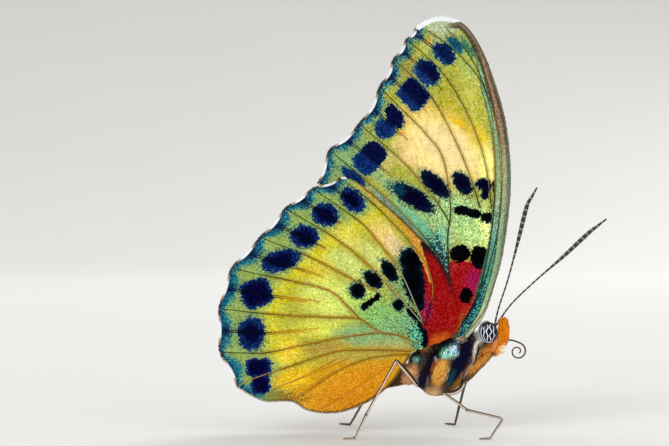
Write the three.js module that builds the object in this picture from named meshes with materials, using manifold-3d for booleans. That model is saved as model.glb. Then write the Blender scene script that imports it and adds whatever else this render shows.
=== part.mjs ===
// A forester butterfly at rest with its wings closed over its back, life size, in millimetres.
// +X runs towards the head, +Y towards the insect's left and +Z up. The floor under its feet is z = 0.
// Every flat shape is drawn in the plane of symmetry, as [x, z].
import * as THREE from "three";
import { mergeVertices, mergeGeometries } from "three/addons/utils/BufferGeometryUtils.js";
import Module from "manifold-3d";

const wasm = await Module();
wasm.setup();

// ---- Driving dimensions -------------------------------------------------------------------

const WING_THICKNESS = 0.5;
const PIECE_GAP = 0.3; // left between two pieces that meet
const SIDES = { right: -1, left: 1 };

// The closed wings stand apart at their roots, meet above the thorax and part a little at the tips.
const WING_ROOT = [4, 12.5];
const HALF_GAP = { least: 0.46, atRoot: 1.5, rootReach: 5.5, atTip: 0.55, tipReach: 45 };
const HINDWING_OUTSIDE = 0.72; // how far the hindwing lies outside the forewing
const ABDOMEN_BULGE = { depth: 0.75, reach: 2.6 }; // the hindwing swells round the abdomen

// A wing is its leading edge, the vein ends on its scalloped outer margin, and its trailing edge.
const FOREWING = {
  hub: [3.4, 36],
  leading: [
    [6.67, 12.64], [9.3, 15.56], [10.9, 19.72], [12.3, 25], [13.25, 32.5], [13.2, 38.5],
    [12.3, 44.5], [9.95, 51.67], [7.7, 55.7], [5.6, 57.3], [3.3, 57.7], [1.4, 57.15], [-0.14, 56.11],
  ],
  veinEnds: [
    [-0.14, 56.11], [-1.39, 54.58], [-3.19, 51.81], [-5.07, 48.06], [-7.92, 42.92],
    [-12.08, 39.17], [-13.68, 34.51],
  ],
  trailing: [[-13.68, 34.51], [-9.6, 31.4], [-2.6, 24.2], [3.2, 16.7], [5.0, 13.05]],
  scallop: 0.42,
  steps: { leading: 26, margin: 4, trailing: 10 },
};
const HINDWING = {
  hub: [-9.5, 19],
  leading: [
    [4.86, 13.19], [5.8, 15.9], [5.5, 18.5], [3.4, 24.0], [-1.94, 29.79], [-7.22, 34.17],
    [-8.9, 35.2], [-10.28, 35.49],
  ],
  veinEnds: [
    [-10.28, 35.49], [-14.31, 33.96], [-18.06, 31.25], [-21.67, 27.15], [-25.56, 22.92],
    [-27.29, 17.36], [-27.22, 11.25], [-24.72, 6.25],
  ],
  trailing: [
    [-24.72, 6.25], [-21.1, 4.35], [-17.22, 4.24], [-15.1, 3.1], [-12.3, 2.64], [-9.2, 3.05],
    [-5.4, 4.9], [-2.4, 8.0], [-0.42, 11.1],
  ],
  scallop: 0.38,
  steps: { leading: 20, margin: 4, trailing: 18 },
};
const WING_RINGS = [0.4, 0.78, 1];

// Swept bodies: points along the centreline with [half width, half height] at each.
const THORAX = {
  points: [[-0.9, 7.9], [0.6, 8.4], [2.6, 8.9], [4.8, 10.0], [6.9, 11.0], [8.2, 11.8], [8.8, 12.3]],
  radii: [[0.8, 1.0], [2.0, 3.0], [2.55, 4.25], [2.6, 4.0], [2.1, 3.0], [1.4, 2.1], [0.8, 1.1]],
};
const ABDOMEN = {
  points: [[0.4, 8.4], [-3, 7.8], [-6.5, 7.0], [-10, 6.1], [-12.6, 5.4], [-13.2, 5.25]],
  radii: [[1.3, 1.4], [1.55, 1.65], [1.42, 1.5], [1.05, 1.1], [0.5, 0.55], [0.2, 0.22]],
};
const PALP = {
  points: [[9.1, 10.5], [10.9, 11.3], [12.05, 12.4], [12.5, 14.1], [12.45, 15.5], [12.35, 16.0]],
  radii: [[0.3, 0.45], [0.5, 0.75], [0.5, 0.82], [0.45, 0.72], [0.28, 0.42], [0.12, 0.18]],
  offset: 0.58,
};
const HEAD = { at: [10.1, 0, 13.0], radii: [1.65, 1.5, 1.8] };
const EYE = { at: [10.3, 1.3, 13.8], radii: [1.2, 0.95, 1.5] };

// The proboscis leaves between the palps and coils in the plane of symmetry.
const PROBOSCIS = {
  root: [[11.6, 12.0], [12.6, 12.72], [13.6, 12.72]],
  coilCentre: [14.25, 11.2],
  coilFrom: 1.2,
  coilTo: 0.3,
  startAngle: 70,
  turns: 1.35,
  radius: 0.25,
};
const ANTENNA_RADII = [0.26, 0.25, 0.25, 0.26, 0.36, 0.4, 0.3];
const ANTENNAE = {
  right: [
    [11.0, -0.55, 14.9], [11.5, -1.1, 17.2], [12.7, -1.8, 21.1], [14.0, -2.4, 26.2],
    [15.2, -2.9, 31.2], [15.9, -3.05, 32.6], [16.6, -3.2, 33.9],
  ],
  left: [
    [11.3, 0.55, 14.9], [13.4, 1.2, 17.6], [16.9, 2.0, 20.9], [20.9, 2.7, 24.3],
    [24.4, 3.2, 27.5], [25.8, 3.3, 28.6], [27.1, 3.4, 29.6],
  ],
};

// The forelegs are reduced to small brushes folded against the thorax.
const FORELEG = {
  points: [[10.6, 0.95, 11.0], [9.5, 1.6, 10.1], [8.1, 1.9, 8.7], [6.7, 1.7, 7.2]],
  radii: [0.3, 0.62, 0.6, 0.28],
};

// A walking leg's femur runs from hip to knee, its tibia to the ankle and its tarsus to the claw.
const SOLE = 0.16; // height of a foot's centreline over the floor
const LEGS = {
  mid_right: {
    femur: [[6.9, -0.7, 7.4], [6.3, -1.4, 6.25], [5.1, -2.3, 5.65], [3.7, -2.9, 5.7]],
    tibia: [[3.7, -2.9, 5.7], [6.9, -5.2, 3.55]],
    tarsus: [
      [6.9, -5.2, 3.55], [11.15, -7.45, 2.75], [11.45, -7.65, 2.5], [11.25, -7.8, 2.2],
      [9.7, -8.8, SOLE], [8.4, -9.4, SOLE],
    ],
  },
  mid_left: {
    femur: [[4.3, 0.9, 5.9], [7.3, 4.5, 6.4]],
    tibia: [[7.3, 4.5, 6.4], [6.6, 7.2, 2.7]],
    tarsus: [[6.6, 7.2, 2.7], [6.1, 8.5, SOLE], [4.9, 9.42, SOLE]],
  },
  hind_right: {
    femur: [[0.3, -0.9, 6.5], [-2.8, -5.0, 10.3]],
    tibia: [[-2.8, -5.0, 10.3], [-6.9, -7.6, 3.2]],
    tarsus: [[-6.9, -7.6, 3.2], [-8.4, -8.7, SOLE], [-9.8, -9.3, SOLE]],
  },
  hind_left: {
    femur: [[0.3, 0.9, 6.5], [-3.1, 4.8, 9.9]],
    tibia: [[-3.1, 4.8, 9.9], [-7.3, 7.5, 3.1]],
    tarsus: [[-7.3, 7.5, 3.1], [-8.9, 8.6, SOLE], [-10.3, 9.1, SOLE]],
  },
};
const LEG_RADII = { femur: [0.42, 0.36], tibia: [0.27, 0.28], tarsus: [0.27, 0.26] };

const MATERIALS = {
  wing: { color: 0xc9c95e, roughness: 0.6, metalness: 0.05 },
  fur: { color: 0xa98a5c, roughness: 0.85, metalness: 0 },
  eye: { color: 0x10121c, roughness: 0.2, metalness: 0 },
  palp: { color: 0xd9821a, roughness: 0.8, metalness: 0 },
  horn: { color: 0x2a221c, roughness: 0.5, metalness: 0 },
};

// ---- Geometry helpers ---------------------------------------------------------------------

// A geometry's positions as a manifold-3d solid.
function solidOf(geometry) {
  const bare = new THREE.BufferGeometry();
  bare.setAttribute("position", geometry.getAttribute("position"));
  bare.setIndex(geometry.getIndex());
  const merged = mergeVertices(bare, 1e-4);
  return new wasm.Manifold(
    new wasm.Mesh({
      numProp: 3,
      vertProperties: new Float32Array(merged.attributes.position.array),
      triVerts: new Uint32Array(merged.index.array),
    }),
  );
}

// A manifold-3d solid as a geometry.
function geometryOf(solid) {
  const mesh = solid.getMesh();
  const geometry = new THREE.BufferGeometry();
  geometry.setAttribute("position", new THREE.BufferAttribute(new Float32Array(mesh.vertProperties), 3));
  geometry.setIndex(new THREE.BufferAttribute(new Uint32Array(mesh.triVerts), 1));
  geometry.computeVertexNormals();
  return geometry;
}

// A closed skin over rings of equal length, with a fan over the first and the last ring.
function skinOver(rings) {
  const sides = rings[0].length;
  const positions = rings.flat().flatMap((p) => [p.x, p.y, p.z]);
  const index = [];
  rings.slice(1).forEach((_, r) => {
    for (let s = 0; s < sides; s += 1) {
      const next = (s + 1) % sides;
      const [a, b] = [r * sides + s, r * sides + next];
      index.push(a, b, b + sides, a, b + sides, a + sides);
    }
  });
  const last = (rings.length - 1) * sides;
  for (let s = 1; s < sides - 1; s += 1) {
    index.push(0, s + 1, s);
    index.push(last, last + s, last + s + 1);
  }
  const geometry = new THREE.BufferGeometry();
  geometry.setAttribute("position", new THREE.BufferAttribute(new Float32Array(positions), 3));
  geometry.setIndex(index);
  return geometry;
}

// Elliptical rings along a line of points, carried from point to point without twist.
function sweep(points, radii, sides, firstSide = new THREE.Vector3(0, 1, 0)) {
  const along = points.map((p, i) => {
    const before = points[Math.max(i - 1, 0)];
    const after = points[Math.min(i + 1, points.length - 1)];
    return after.clone().sub(before).normalize();
  });
  const side = firstSide.clone().projectOnPlane(along[0]).normalize();
  const rings = points.map((p, i) => {
    if (i > 0) side.applyQuaternion(new THREE.Quaternion().setFromUnitVectors(along[i - 1], along[i]));
    const up = new THREE.Vector3().crossVectors(along[i], side);
    const [wide, high] = radii[i];
    return Array.from({ length: sides }, (_, s) => {
      const turn = (2 * Math.PI * s) / sides;
      return p
        .clone()
        .addScaledVector(side, wide * Math.cos(turn))
        .addScaledVector(up, high * Math.sin(turn));
    });
  });
  return skinOver(rings);
}

// The same along a smooth curve through the points, at equal steps.
function smoothSweep(points, radii, steps, sides) {
  const line = new THREE.CatmullRomCurve3(points);
  const size = new THREE.CatmullRomCurve3(radii.map(([wide, high]) => new THREE.Vector3(wide, high, 0)));
  const at = Array.from({ length: steps + 1 }, (_, i) => i / steps);
  return sweep(
    at.map((t) => line.getPoint(t)),
    at.map((t) => size.getPoint(t)).map((r) => [r.x, r.y]),
    sides,
  );
}

// A point of the plane of symmetry, moved sideways.
const inPlane = ([x, z], y = 0) => new THREE.Vector3(x, y, z);

const grown = (radii, by) => radii.map((pair) => pair.map((r) => r + by));

function ellipsoid({ at, radii }, side = 1, by = 0, columns = 20, rows = 12) {
  const geometry = new THREE.SphereGeometry(1, columns, rows);
  geometry.scale(...radii.map((r) => r + by));
  geometry.translate(at[0], at[1] * side, at[2]);
  return solidOf(geometry);
}

// ---- Wings --------------------------------------------------------------------------------

// The outline of a wing, once round, ending before it repeats its first point.
function wingOutline({ leading, veinEnds, trailing, scallop, steps }) {
  const flat = (list) => new THREE.SplineCurve(list.map(([x, z]) => new THREE.Vector2(x, z)));
  const margin = flat(veinEnds);
  const spans = veinEnds.length - 1;
  const marginSteps = spans * steps.margin;
  const scalloped = Array.from({ length: marginSteps }, (_, i) => {
    const t = i / marginSteps;
    const tangent = margin.getPoint(Math.min(t + 1e-3, 1)).sub(margin.getPoint(Math.max(t - 1e-3, 0)));
    const inward = new THREE.Vector2(-tangent.y, tangent.x).normalize();
    return margin.getPoint(t).addScaledVector(inward, scallop * Math.sin(Math.PI * t * spans) ** 2);
  });
  return [
    ...flat(leading).getPoints(steps.leading).slice(0, -1),
    ...scalloped,
    ...flat(trailing).getPoints(steps.trailing),
  ];
}

// How far the middle of the forewing stands from the plane of symmetry.
function halfGap(x, z) {
  const out = Math.hypot(x - WING_ROOT[0], z - WING_ROOT[1]);
  const { least, atRoot, rootReach, atTip, tipReach } = HALF_GAP;
  return least + atRoot * Math.exp(-((out / rootReach) ** 2)) + atTip * (out / tipReach) ** 2;
}

// The hindwing lies outside the forewing and swells round the abdomen.
function hindHalfGap(x, z) {
  const here = new THREE.Vector3(x, 0, z);
  const [from, to] = [inPlane(ABDOMEN.points[0]), inPlane(ABDOMEN.points.at(-1))];
  const nearest = new THREE.Line3(from, to).closestPointToPoint(here, true, new THREE.Vector3());
  const off = nearest.distanceTo(here) / ABDOMEN_BULGE.reach;
  return halfGap(x, z) + HINDWING_OUTSIDE + ABDOMEN_BULGE.depth * Math.exp(-(off ** 2));
}

// A closed shell: rings from a hub to the outline on both faces, joined at the rim.
function wingShell(wing, side, middleAt) {
  const outline = wingOutline(wing);
  const [hubX, hubZ] = wing.hub;
  const face = (towards) => {
    const put = (x, z) => new THREE.Vector3(x, side * (middleAt(x, z) + (towards * WING_THICKNESS) / 2), z);
    return WING_RINGS.map((share) =>
      outline.map((p) => put(hubX + (p.x - hubX) * share, hubZ + (p.y - hubZ) * share)),
    );
  };
  const rings = [...face(1), ...face(-1).reverse()];
  const shell = skinOver(side < 0 ? rings.map((ring) => ring.slice().reverse()) : rings);
  return solidOf(shell);
}

// A short stalk carries each wing on the thorax.
const ROOT_STALKS = {
  forewing: { at: [5.9, 1.75, 13.0], radii: [0.85, 0.5, 0.6] },
  hindwing: { at: [2.0, 2.25, 12.4], radii: [1.3, 0.55, 0.75] },
};

// ---- Solids -------------------------------------------------------------------------------

const thoraxSolid = (by = 0) =>
  solidOf(smoothSweep(THORAX.points.map((p) => inPlane(p)), grown(THORAX.radii, by), 12, 20));
const headSolid = (by = 0) => ellipsoid(HEAD, 1, by);
const eyeSolid = (side, by = 0) => ellipsoid(EYE, side, by, 18, 12);
const palpSolid = (side, by = 0) =>
  solidOf(
    smoothSweep(PALP.points.map((p) => inPlane(p, side * PALP.offset)), grown(PALP.radii, by), 10, 12),
  );

// One solid less others.
const less = (solid, ...others) => others.reduce((left, other) => left.subtract(other), solid);

function proboscisSolid(by = 0) {
  const { root, coilCentre, coilFrom, coilTo, startAngle, turns, radius } = PROBOSCIS;
  const coilSteps = 26;
  const coil = Array.from({ length: coilSteps + 1 }, (_, i) => {
    const t = i / coilSteps;
    const angle = THREE.MathUtils.degToRad(startAngle) - t * turns * 2 * Math.PI;
    const r = coilFrom + (coilTo - coilFrom) * t;
    return inPlane([coilCentre[0] + r * Math.cos(angle), coilCentre[1] + r * Math.sin(angle)]);
  });
  const line = [...root.map((p) => inPlane(p)), ...coil];
  return solidOf(sweep(line, line.map(() => [radius + by, radius + by]), 8));
}

function antennaSolid(points) {
  const line = points.map(([x, y, z]) => new THREE.Vector3(x, y, z));
  return solidOf(smoothSweep(line, ANTENNA_RADII.map((r) => [r, r]), 14, 8));
}

function forelegSolid(side) {
  const line = FORELEG.points.map(([x, y, z]) => new THREE.Vector3(x, y * side, z));
  return solidOf(smoothSweep(line, FORELEG.radii.map((r) => [r, r]), 6, 8));
}

// One length of a walking leg, tapering from its first radius to its last.
function legPartSolid(points, [first, last], by = 0) {
  const line = points.map(([x, y, z]) => new THREE.Vector3(x, y, z));
  const ahead = line.at(-1).clone().sub(line.at(-2)).setLength(by);
  line.at(-1).add(ahead);
  const radii = line.map((_, i) => THREE.MathUtils.lerp(first, last, i / (line.length - 1)) + by);
  return solidOf(sweep(line, radii.map((r) => [r, r]), 8, new THREE.Vector3(0.3, 1, 0)));
}

// Everything below the floor, so that a foot cut by it stands on a flat.
function floorSolid() {
  const depth = 10;
  const floor = new THREE.BoxGeometry(100, 100, depth);
  floor.translate(0, 0, -depth / 2);
  return solidOf(floor);
}

function wingSolid(kind, wing, side, middleAt) {
  const stalk = ellipsoid(ROOT_STALKS[kind], side, 0, 10, 6);
  return less(wingShell(wing, side, middleAt).add(stalk), thoraxSolid(PIECE_GAP));
}

// ---- The part -----------------------------------------------------------------------------

const part = new THREE.Group();

function addPiece(name, solid, look) {
  const mesh = new THREE.Mesh(geometryOf(solid), new THREE.MeshStandardMaterial(MATERIALS[look]));
  mesh.name = name;
  part.add(mesh);
}

const thoraxRoom = thoraxSolid(PIECE_GAP);
const headRoom = headSolid(PIECE_GAP);
const eyeRooms = Object.values(SIDES).map((side) => eyeSolid(side, PIECE_GAP));
const palpRooms = Object.values(SIDES).map((side) => palpSolid(side, PIECE_GAP));
const proboscisRoom = proboscisSolid(PIECE_GAP);
const floor = floorSolid();

addPiece("thorax", thoraxSolid(), "fur");
addPiece("head", less(headSolid(), thoraxRoom, ...eyeRooms), "fur");
addPiece(
  "abdomen",
  less(
    solidOf(smoothSweep(ABDOMEN.points.map((p) => inPlane(p)), ABDOMEN.radii, 12, 14)),
    thoraxRoom,
  ),
  "fur",
);
addPiece("proboscis", less(proboscisSolid(), headRoom), "horn");

for (const [sideName, side] of Object.entries(SIDES)) {
  addPiece(`eye_${sideName}`, eyeSolid(side), "eye");
  const palp = less(palpSolid(side), thoraxRoom, headRoom, proboscisRoom, ...eyeRooms);
  addPiece(`palp_${sideName}`, palp, "palp");
  addPiece(`antenna_${sideName}`, less(antennaSolid(ANTENNAE[sideName]), headRoom, ...eyeRooms), "horn");
  addPiece(`foreleg_${sideName}`, less(forelegSolid(side), thoraxRoom, headRoom, ...palpRooms), "fur");
  addPiece(`forewing_${sideName}`, wingSolid("forewing", FOREWING, side, halfGap), "wing");
  addPiece(`hindwing_${sideName}`, wingSolid("hindwing", HINDWING, side, hindHalfGap), "wing");
}
for (const [legName, leg] of Object.entries(LEGS)) {
  let before = thoraxRoom;
  for (const [partName, points] of Object.entries(leg)) {
    const radii = LEG_RADII[partName];
    addPiece(`${legName}_${partName}`, less(legPartSolid(points, radii), before, floor), "horn");
    before = legPartSolid(points, radii, PIECE_GAP);
  }
}

export default part;
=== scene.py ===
"""A forester butterfly at rest with its wings closed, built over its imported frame.

Sizes in this file are millimetres unless a name says otherwise. +X runs towards the head, +Y towards the
insect's left and +Z up, and the floor is z = 0. A wing's plan is its [x, z].
"""
import math

import bpy
import numpy as np
from bpy.props import FloatProperty, FloatVectorProperty, IntProperty, PointerProperty
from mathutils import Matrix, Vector


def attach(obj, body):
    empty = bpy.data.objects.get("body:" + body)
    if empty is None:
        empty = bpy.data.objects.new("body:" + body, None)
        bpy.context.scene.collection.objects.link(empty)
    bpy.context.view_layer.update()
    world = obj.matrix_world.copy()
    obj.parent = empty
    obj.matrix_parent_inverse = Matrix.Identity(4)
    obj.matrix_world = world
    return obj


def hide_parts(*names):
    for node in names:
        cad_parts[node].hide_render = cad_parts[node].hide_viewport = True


bl_info = {
    "name": "Forester butterfly",
    "version": (1, 0, 0),
    "blender": (4, 5, 0),
    "location": "3D View > Sidebar > Butterfly",
    "description": "Builds a life-size forester butterfly with scaled wings and a furred body",
    "category": "Add Mesh",
}

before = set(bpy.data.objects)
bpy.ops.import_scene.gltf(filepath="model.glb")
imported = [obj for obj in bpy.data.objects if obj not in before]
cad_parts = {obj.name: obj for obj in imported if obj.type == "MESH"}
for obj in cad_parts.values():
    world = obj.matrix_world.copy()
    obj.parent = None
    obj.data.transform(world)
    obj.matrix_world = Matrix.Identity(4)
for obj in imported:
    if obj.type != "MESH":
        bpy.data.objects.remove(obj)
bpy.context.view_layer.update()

MM = 0.001
SIDES = {"right": -1, "left": 1}
SEED = 7

# ---- Sizes ------------------------------------------------------------------------------------

# The closed wings stand apart at their roots, meet above the thorax and part a little at the tips.
WING_ROOT = (4.0, 12.5)
HALF_GAP = {"least": 0.46, "at_root": 1.5, "root_reach": 5.5, "at_tip": 0.55, "tip_reach": 45.0}
HINDWING_OUTSIDE = 0.72
ABDOMEN_LINE = ((0.4, 8.4), (-13.2, 5.25))
ABDOMEN_BULGE = {"depth": 0.75, "reach": 2.6}

FOREWING = {
    "hub": (3.4, 36),
    "leading": [
        (6.67, 12.64), (9.3, 15.56), (10.9, 19.72), (12.3, 25), (13.25, 32.5), (13.2, 38.5),
        (12.3, 44.5), (9.95, 51.67), (7.7, 55.7), (5.6, 57.3), (3.3, 57.7), (1.4, 57.15),
        (-0.14, 56.11),
    ],
    "vein_ends": [
        (-0.14, 56.11), (-1.39, 54.58), (-3.19, 51.81), (-5.07, 48.06), (-7.92, 42.92),
        (-12.08, 39.17), (-13.68, 34.51),
    ],
    "trailing": [(-13.68, 34.51), (-9.6, 31.4), (-2.6, 24.2), (3.2, 16.7), (5.0, 13.05)],
    "scallop": 0.42,
    "fan": (5.6, 12.0),  # where the rows of scales are centred
    "fringe": {"starts_at_x": 5.9, "at_start": 0.75, "margin": 0.4, "ends_at_x": -13.0, "at_end": 0.3},
}
HINDWING = {
    "hub": (-9.5, 19),
    "leading": [
        (4.86, 13.19), (5.8, 15.9), (5.5, 18.5), (3.4, 24.0), (-1.94, 29.79), (-7.22, 34.17),
        (-8.9, 35.2), (-10.28, 35.49),
    ],
    "vein_ends": [
        (-10.28, 35.49), (-14.31, 33.96), (-18.06, 31.25), (-21.67, 27.15), (-25.56, 22.92),
        (-27.29, 17.36), (-27.22, 11.25), (-24.72, 6.25),
    ],
    "trailing": [
        (-24.72, 6.25), (-21.1, 4.35), (-17.22, 4.24), (-15.1, 3.1), (-12.3, 2.64), (-9.2, 3.05),
        (-5.4, 4.9), (-2.4, 8.0), (-0.42, 11.1),
    ],
    "scallop": 0.38,
    "fan": (4.6, 13.0),
    "fringe": {"starts_at_x": -9.6, "at_start": 0.4, "margin": 0.38, "ends_at_x": -4.0, "at_end": 0.28},
}

# Each vein runs from the root to the margin: its line, and its radius at each end.
FOREWING_VEINS = {
    "costa": ([(6.7, 13.4), (9.3, 16.6), (10.9, 20.6), (12.2, 25.6), (13.0, 32.4), (12.95, 38.4),
               (12.1, 44.3), (9.8, 51.2), (7.6, 55.1)], 0.13, 0.08),
    "subcosta": ([(6.9, 15.6), (9.2, 19.9), (10.6, 24.4), (11.5, 28.6), (11.9, 33.2), (11.7, 37.8),
                  (10.7, 45.8), (8.8, 51.7), (6.8, 55.4)], 0.1, 0.065),
    "radius": ([(6.2, 14.6), (8.8, 19.6), (10.4, 26.7), (11.0, 33.6), (10.9, 41.2), (10.2, 45.7),
                (9.0, 49.4), (7.1, 52.8), (4.0, 56.2)], 0.12, 0.065),
    "upper_medial": ([(10.1, 46.2), (9.0, 48.8), (6.8, 51.5), (4.3, 53.8), (1.3, 55.9)], 0.09, 0.065),
    "middle_medial": ([(10.6, 31.0), (9.8, 36.8), (8.4, 41.4), (6.2, 46.1), (3.9, 49.6), (1.2, 52.4),
                       (-1.1, 54.3)], 0.1, 0.065),
    "lower_medial": ([(9.0, 31.1), (7.8, 34.9), (6.2, 39.0), (3.8, 43.9), (1.5, 47.4), (-2.0, 50.8),
                      (-2.9, 51.5)], 0.1, 0.065),
    "upper_cubital": ([(4.9, 20.4), (4.5, 26.7), (4.9, 31.1), (3.9, 37.8), (1.7, 41.1), (-1.1, 44.0),
                       (-4.7, 47.6)], 0.12, 0.065),
    "lower_cubital": ([(4.7, 28.9), (4.2, 30.1), (2.1, 33.1), (-1.4, 37.2), (-7.1, 42.2), (-7.6, 42.6)],
                      0.11, 0.065),
    "anal": ([(4.9, 19.6), (3.9, 22.8), (2.1, 26.1), (-2.1, 30.7), (-6.1, 34.3), (-11.7, 39.0)],
             0.11, 0.065),
}
HINDWING_VEINS = {
    "subcosta": ([(1.2, 14.9), (2.4, 19.7), (1.1, 24.0), (-2.1, 27.9), (-6.2, 32.0), (-10.0, 34.9)],
                 0.13, 0.07),
    "radius": ([(1.0, 15.3), (-1.8, 21.8), (-3.9, 24.9), (-6.9, 28.5), (-10.4, 31.2), (-14.1, 33.7)],
               0.1, 0.065),
    "upper_medial": ([(1.1, 15.0), (-1.4, 17.9), (-4.9, 21.7), (-9.0, 25.4), (-13.2, 28.3),
                      (-17.8, 30.9)], 0.1, 0.065),
    "middle_medial": ([(-4.9, 19.4), (-9.0, 21.4), (-14.3, 24.2), (-21.3, 27.0)], 0.09, 0.065),
    "lower_medial": ([(-7.7, 15.8), (-9.3, 17.5), (-11.7, 19.6), (-16.0, 20.8), (-22.2, 22.1),
                      (-25.2, 22.8)], 0.1, 0.065),
    "upper_cubital": ([(0.4, 12.4), (-2.2, 13.5), (-4.9, 14.0), (-7.7, 15.8), (-11.5, 16.0),
                       (-19.4, 16.4), (-26.9, 17.2)], 0.13, 0.065),
    "lower_cubital": ([(-5.1, 13.9), (-9.6, 13.3), (-16.0, 12.1), (-20.8, 11.1), (-26.8, 11.2)],
                      0.1, 0.065),
    "anal": ([(-0.6, 11.4), (-5.9, 11.5), (-10.8, 11.3), (-16.0, 9.7), (-22.2, 7.6), (-24.4, 6.6)],
             0.13, 0.07),
    "inner": ([(-0.8, 11.0), (-6.2, 10.4), (-10.4, 8.8), (-14.6, 6.1), (-17.0, 4.5)], 0.1, 0.065),
}
# A pair of creases runs in from the margin, midway between two veins: the veins and its length.
FOREWING_FOLDS = [
    ("upper_medial", "middle_medial", 7.0), ("middle_medial", "lower_medial", 8.0),
    ("lower_medial", "upper_cubital", 7.5), ("upper_cubital", "lower_cubital", 7.0),
    ("lower_cubital", "anal", 8.5),
]
HINDWING_FOLDS = [
    ("subcosta", "radius", 4.5), ("radius", "upper_medial", 6.5), ("upper_medial", "middle_medial", 8.0),
    ("middle_medial", "lower_medial", 11.0), ("lower_medial", "upper_cubital", 13.0),
    ("upper_cubital", "lower_cubital", 13.5),
]
HINDWING_CREASES = [
    [(-10.8, 10.3), (-15.4, 7.9), (-19.6, 6.1)],
    [(-9.2, 10.4), (-14.0, 8.3), (-17.6, 6.9)],
    [(-3.2, 9.6), (-9.2, 5.8), (-13.0, 3.4)],
]
# What lies on a wing, at heights over the middle of its membrane.
RELIEF = {"ridge": 0.085, "ridge_reach": 0.38, "fold": 0.035, "fold_reach": 0.3, "wave": 0.03}
RIB = {"height": 0.105, "step": 0.45, "sides": 6, "flatness": 0.8}
CREASE = {"height": 0.11, "step": 0.4, "sides": 5, "radius": 0.07, "thin_end": 0.7, "off_fold": 0.13}
SCALE = {
    "height": 0.06, "root": 0.004, "tip_lift": (0.03, 0.06), "half_width": 0.62, "keel": 0.05,
    "tip_width": 0.95, "stray": 0.22, "aim": 0.07, "roll": 0.16, "lengths": (0.85, 1.15),
    "first_row": 0.5, "tucked_under": 1.0,
}
FRINGE_HAIR = {
    "spacing": 0.03, "root_inside": 0.12, "half_width": 0.034, "keel": 0.03, "tip_width": 0.8,
    "layer": 0.05, "spread": 0.05, "aim": 0.13, "lengths": (0.72, 1.0),
}

THORAX = {
    "line": [(-0.7, 7.9), (0.6, 8.4), (2.6, 8.9), (4.8, 10.05), (6.9, 11.0), (8.2, 11.8), (9.2, 12.5)],
    "radii": [(0.6, 0.8), (1.65, 2.6), (2.15, 3.75), (2.15, 3.45), (1.75, 2.5), (1.1, 1.65), (0.9, 1.2)],
}
ABDOMEN = {
    "line": [(1.4, 8.5), (-3, 7.8), (-6.5, 7.0), (-10, 6.1), (-12.3, 5.45), (-12.9, 5.3)],
    "radii": [(1.2, 1.3), (1.32, 1.42), (1.2, 1.28), (0.85, 0.9), (0.36, 0.4), (0.1, 0.12)],
}
HEAD = {"at": (10.1, 0, 13.0), "radii": (1.4, 1.3, 1.55)}
EYE = {"at": (10.12, 1.3, 13.9), "radii": (1.24, 0.95, 1.5)}
EYE_NET = {"column": 0.5, "row": 1.25, "cell_at": (-0.04, 0.2), "sway": 0.3}
PALP = {
    "line": [(9.6, 10.9), (10.9, 11.4), (11.95, 12.45), (12.3, 14.0), (12.26, 15.2), (12.2, 15.6)],
    "radii": [(0.3, 0.4), (0.36, 0.6), (0.38, 0.78), (0.36, 0.76), (0.26, 0.58), (0.1, 0.24)],
    "offset": 0.56,
}
FORELEG = {
    "line": [(10.5, 0.95, 10.9), (9.5, 1.55, 10.1), (8.1, 1.85, 8.7), (6.9, 1.7, 7.4)],
    "radii": [(0.25, 0.25), (0.42, 0.42), (0.4, 0.4), (0.15, 0.15)],
}
WING_BASE = {"at": (4.6, 1.75, 12.4), "radii": (2.3, 0.45, 0.75)}

PROBOSCIS = {
    "root": [(11.3, 12.0), (12.6, 12.72), (13.6, 12.72)],
    "coil_centre": (14.25, 11.2),
    "coil_from": 1.2,
    "coil_to": 0.3,
    "start_angle": 70.0,
    "turns": 1.35,
    "radius": (0.14, 0.09),
}
ANTENNAE = {
    "right": [(10.9, -0.5, 14.2), (11.5, -1.1, 17.2), (12.7, -1.8, 21.1), (14.0, -2.4, 26.2),
              (15.2, -2.9, 31.2), (15.9, -3.05, 32.6), (16.6, -3.2, 33.9)],
    "left": [(10.9, 0.5, 14.2), (13.4, 1.2, 17.6), (16.9, 2.0, 20.9), (20.9, 2.7, 24.3),
             (24.4, 3.2, 27.5), (25.8, 3.3, 28.6), (27.1, 3.4, 29.6)],
}
ANTENNA_RADII = [0.14, 0.12, 0.12, 0.14, 0.27, 0.3, 0.12]
ANTENNA_RINGS = {"length": 0.45, "swells": 0.08}

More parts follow.
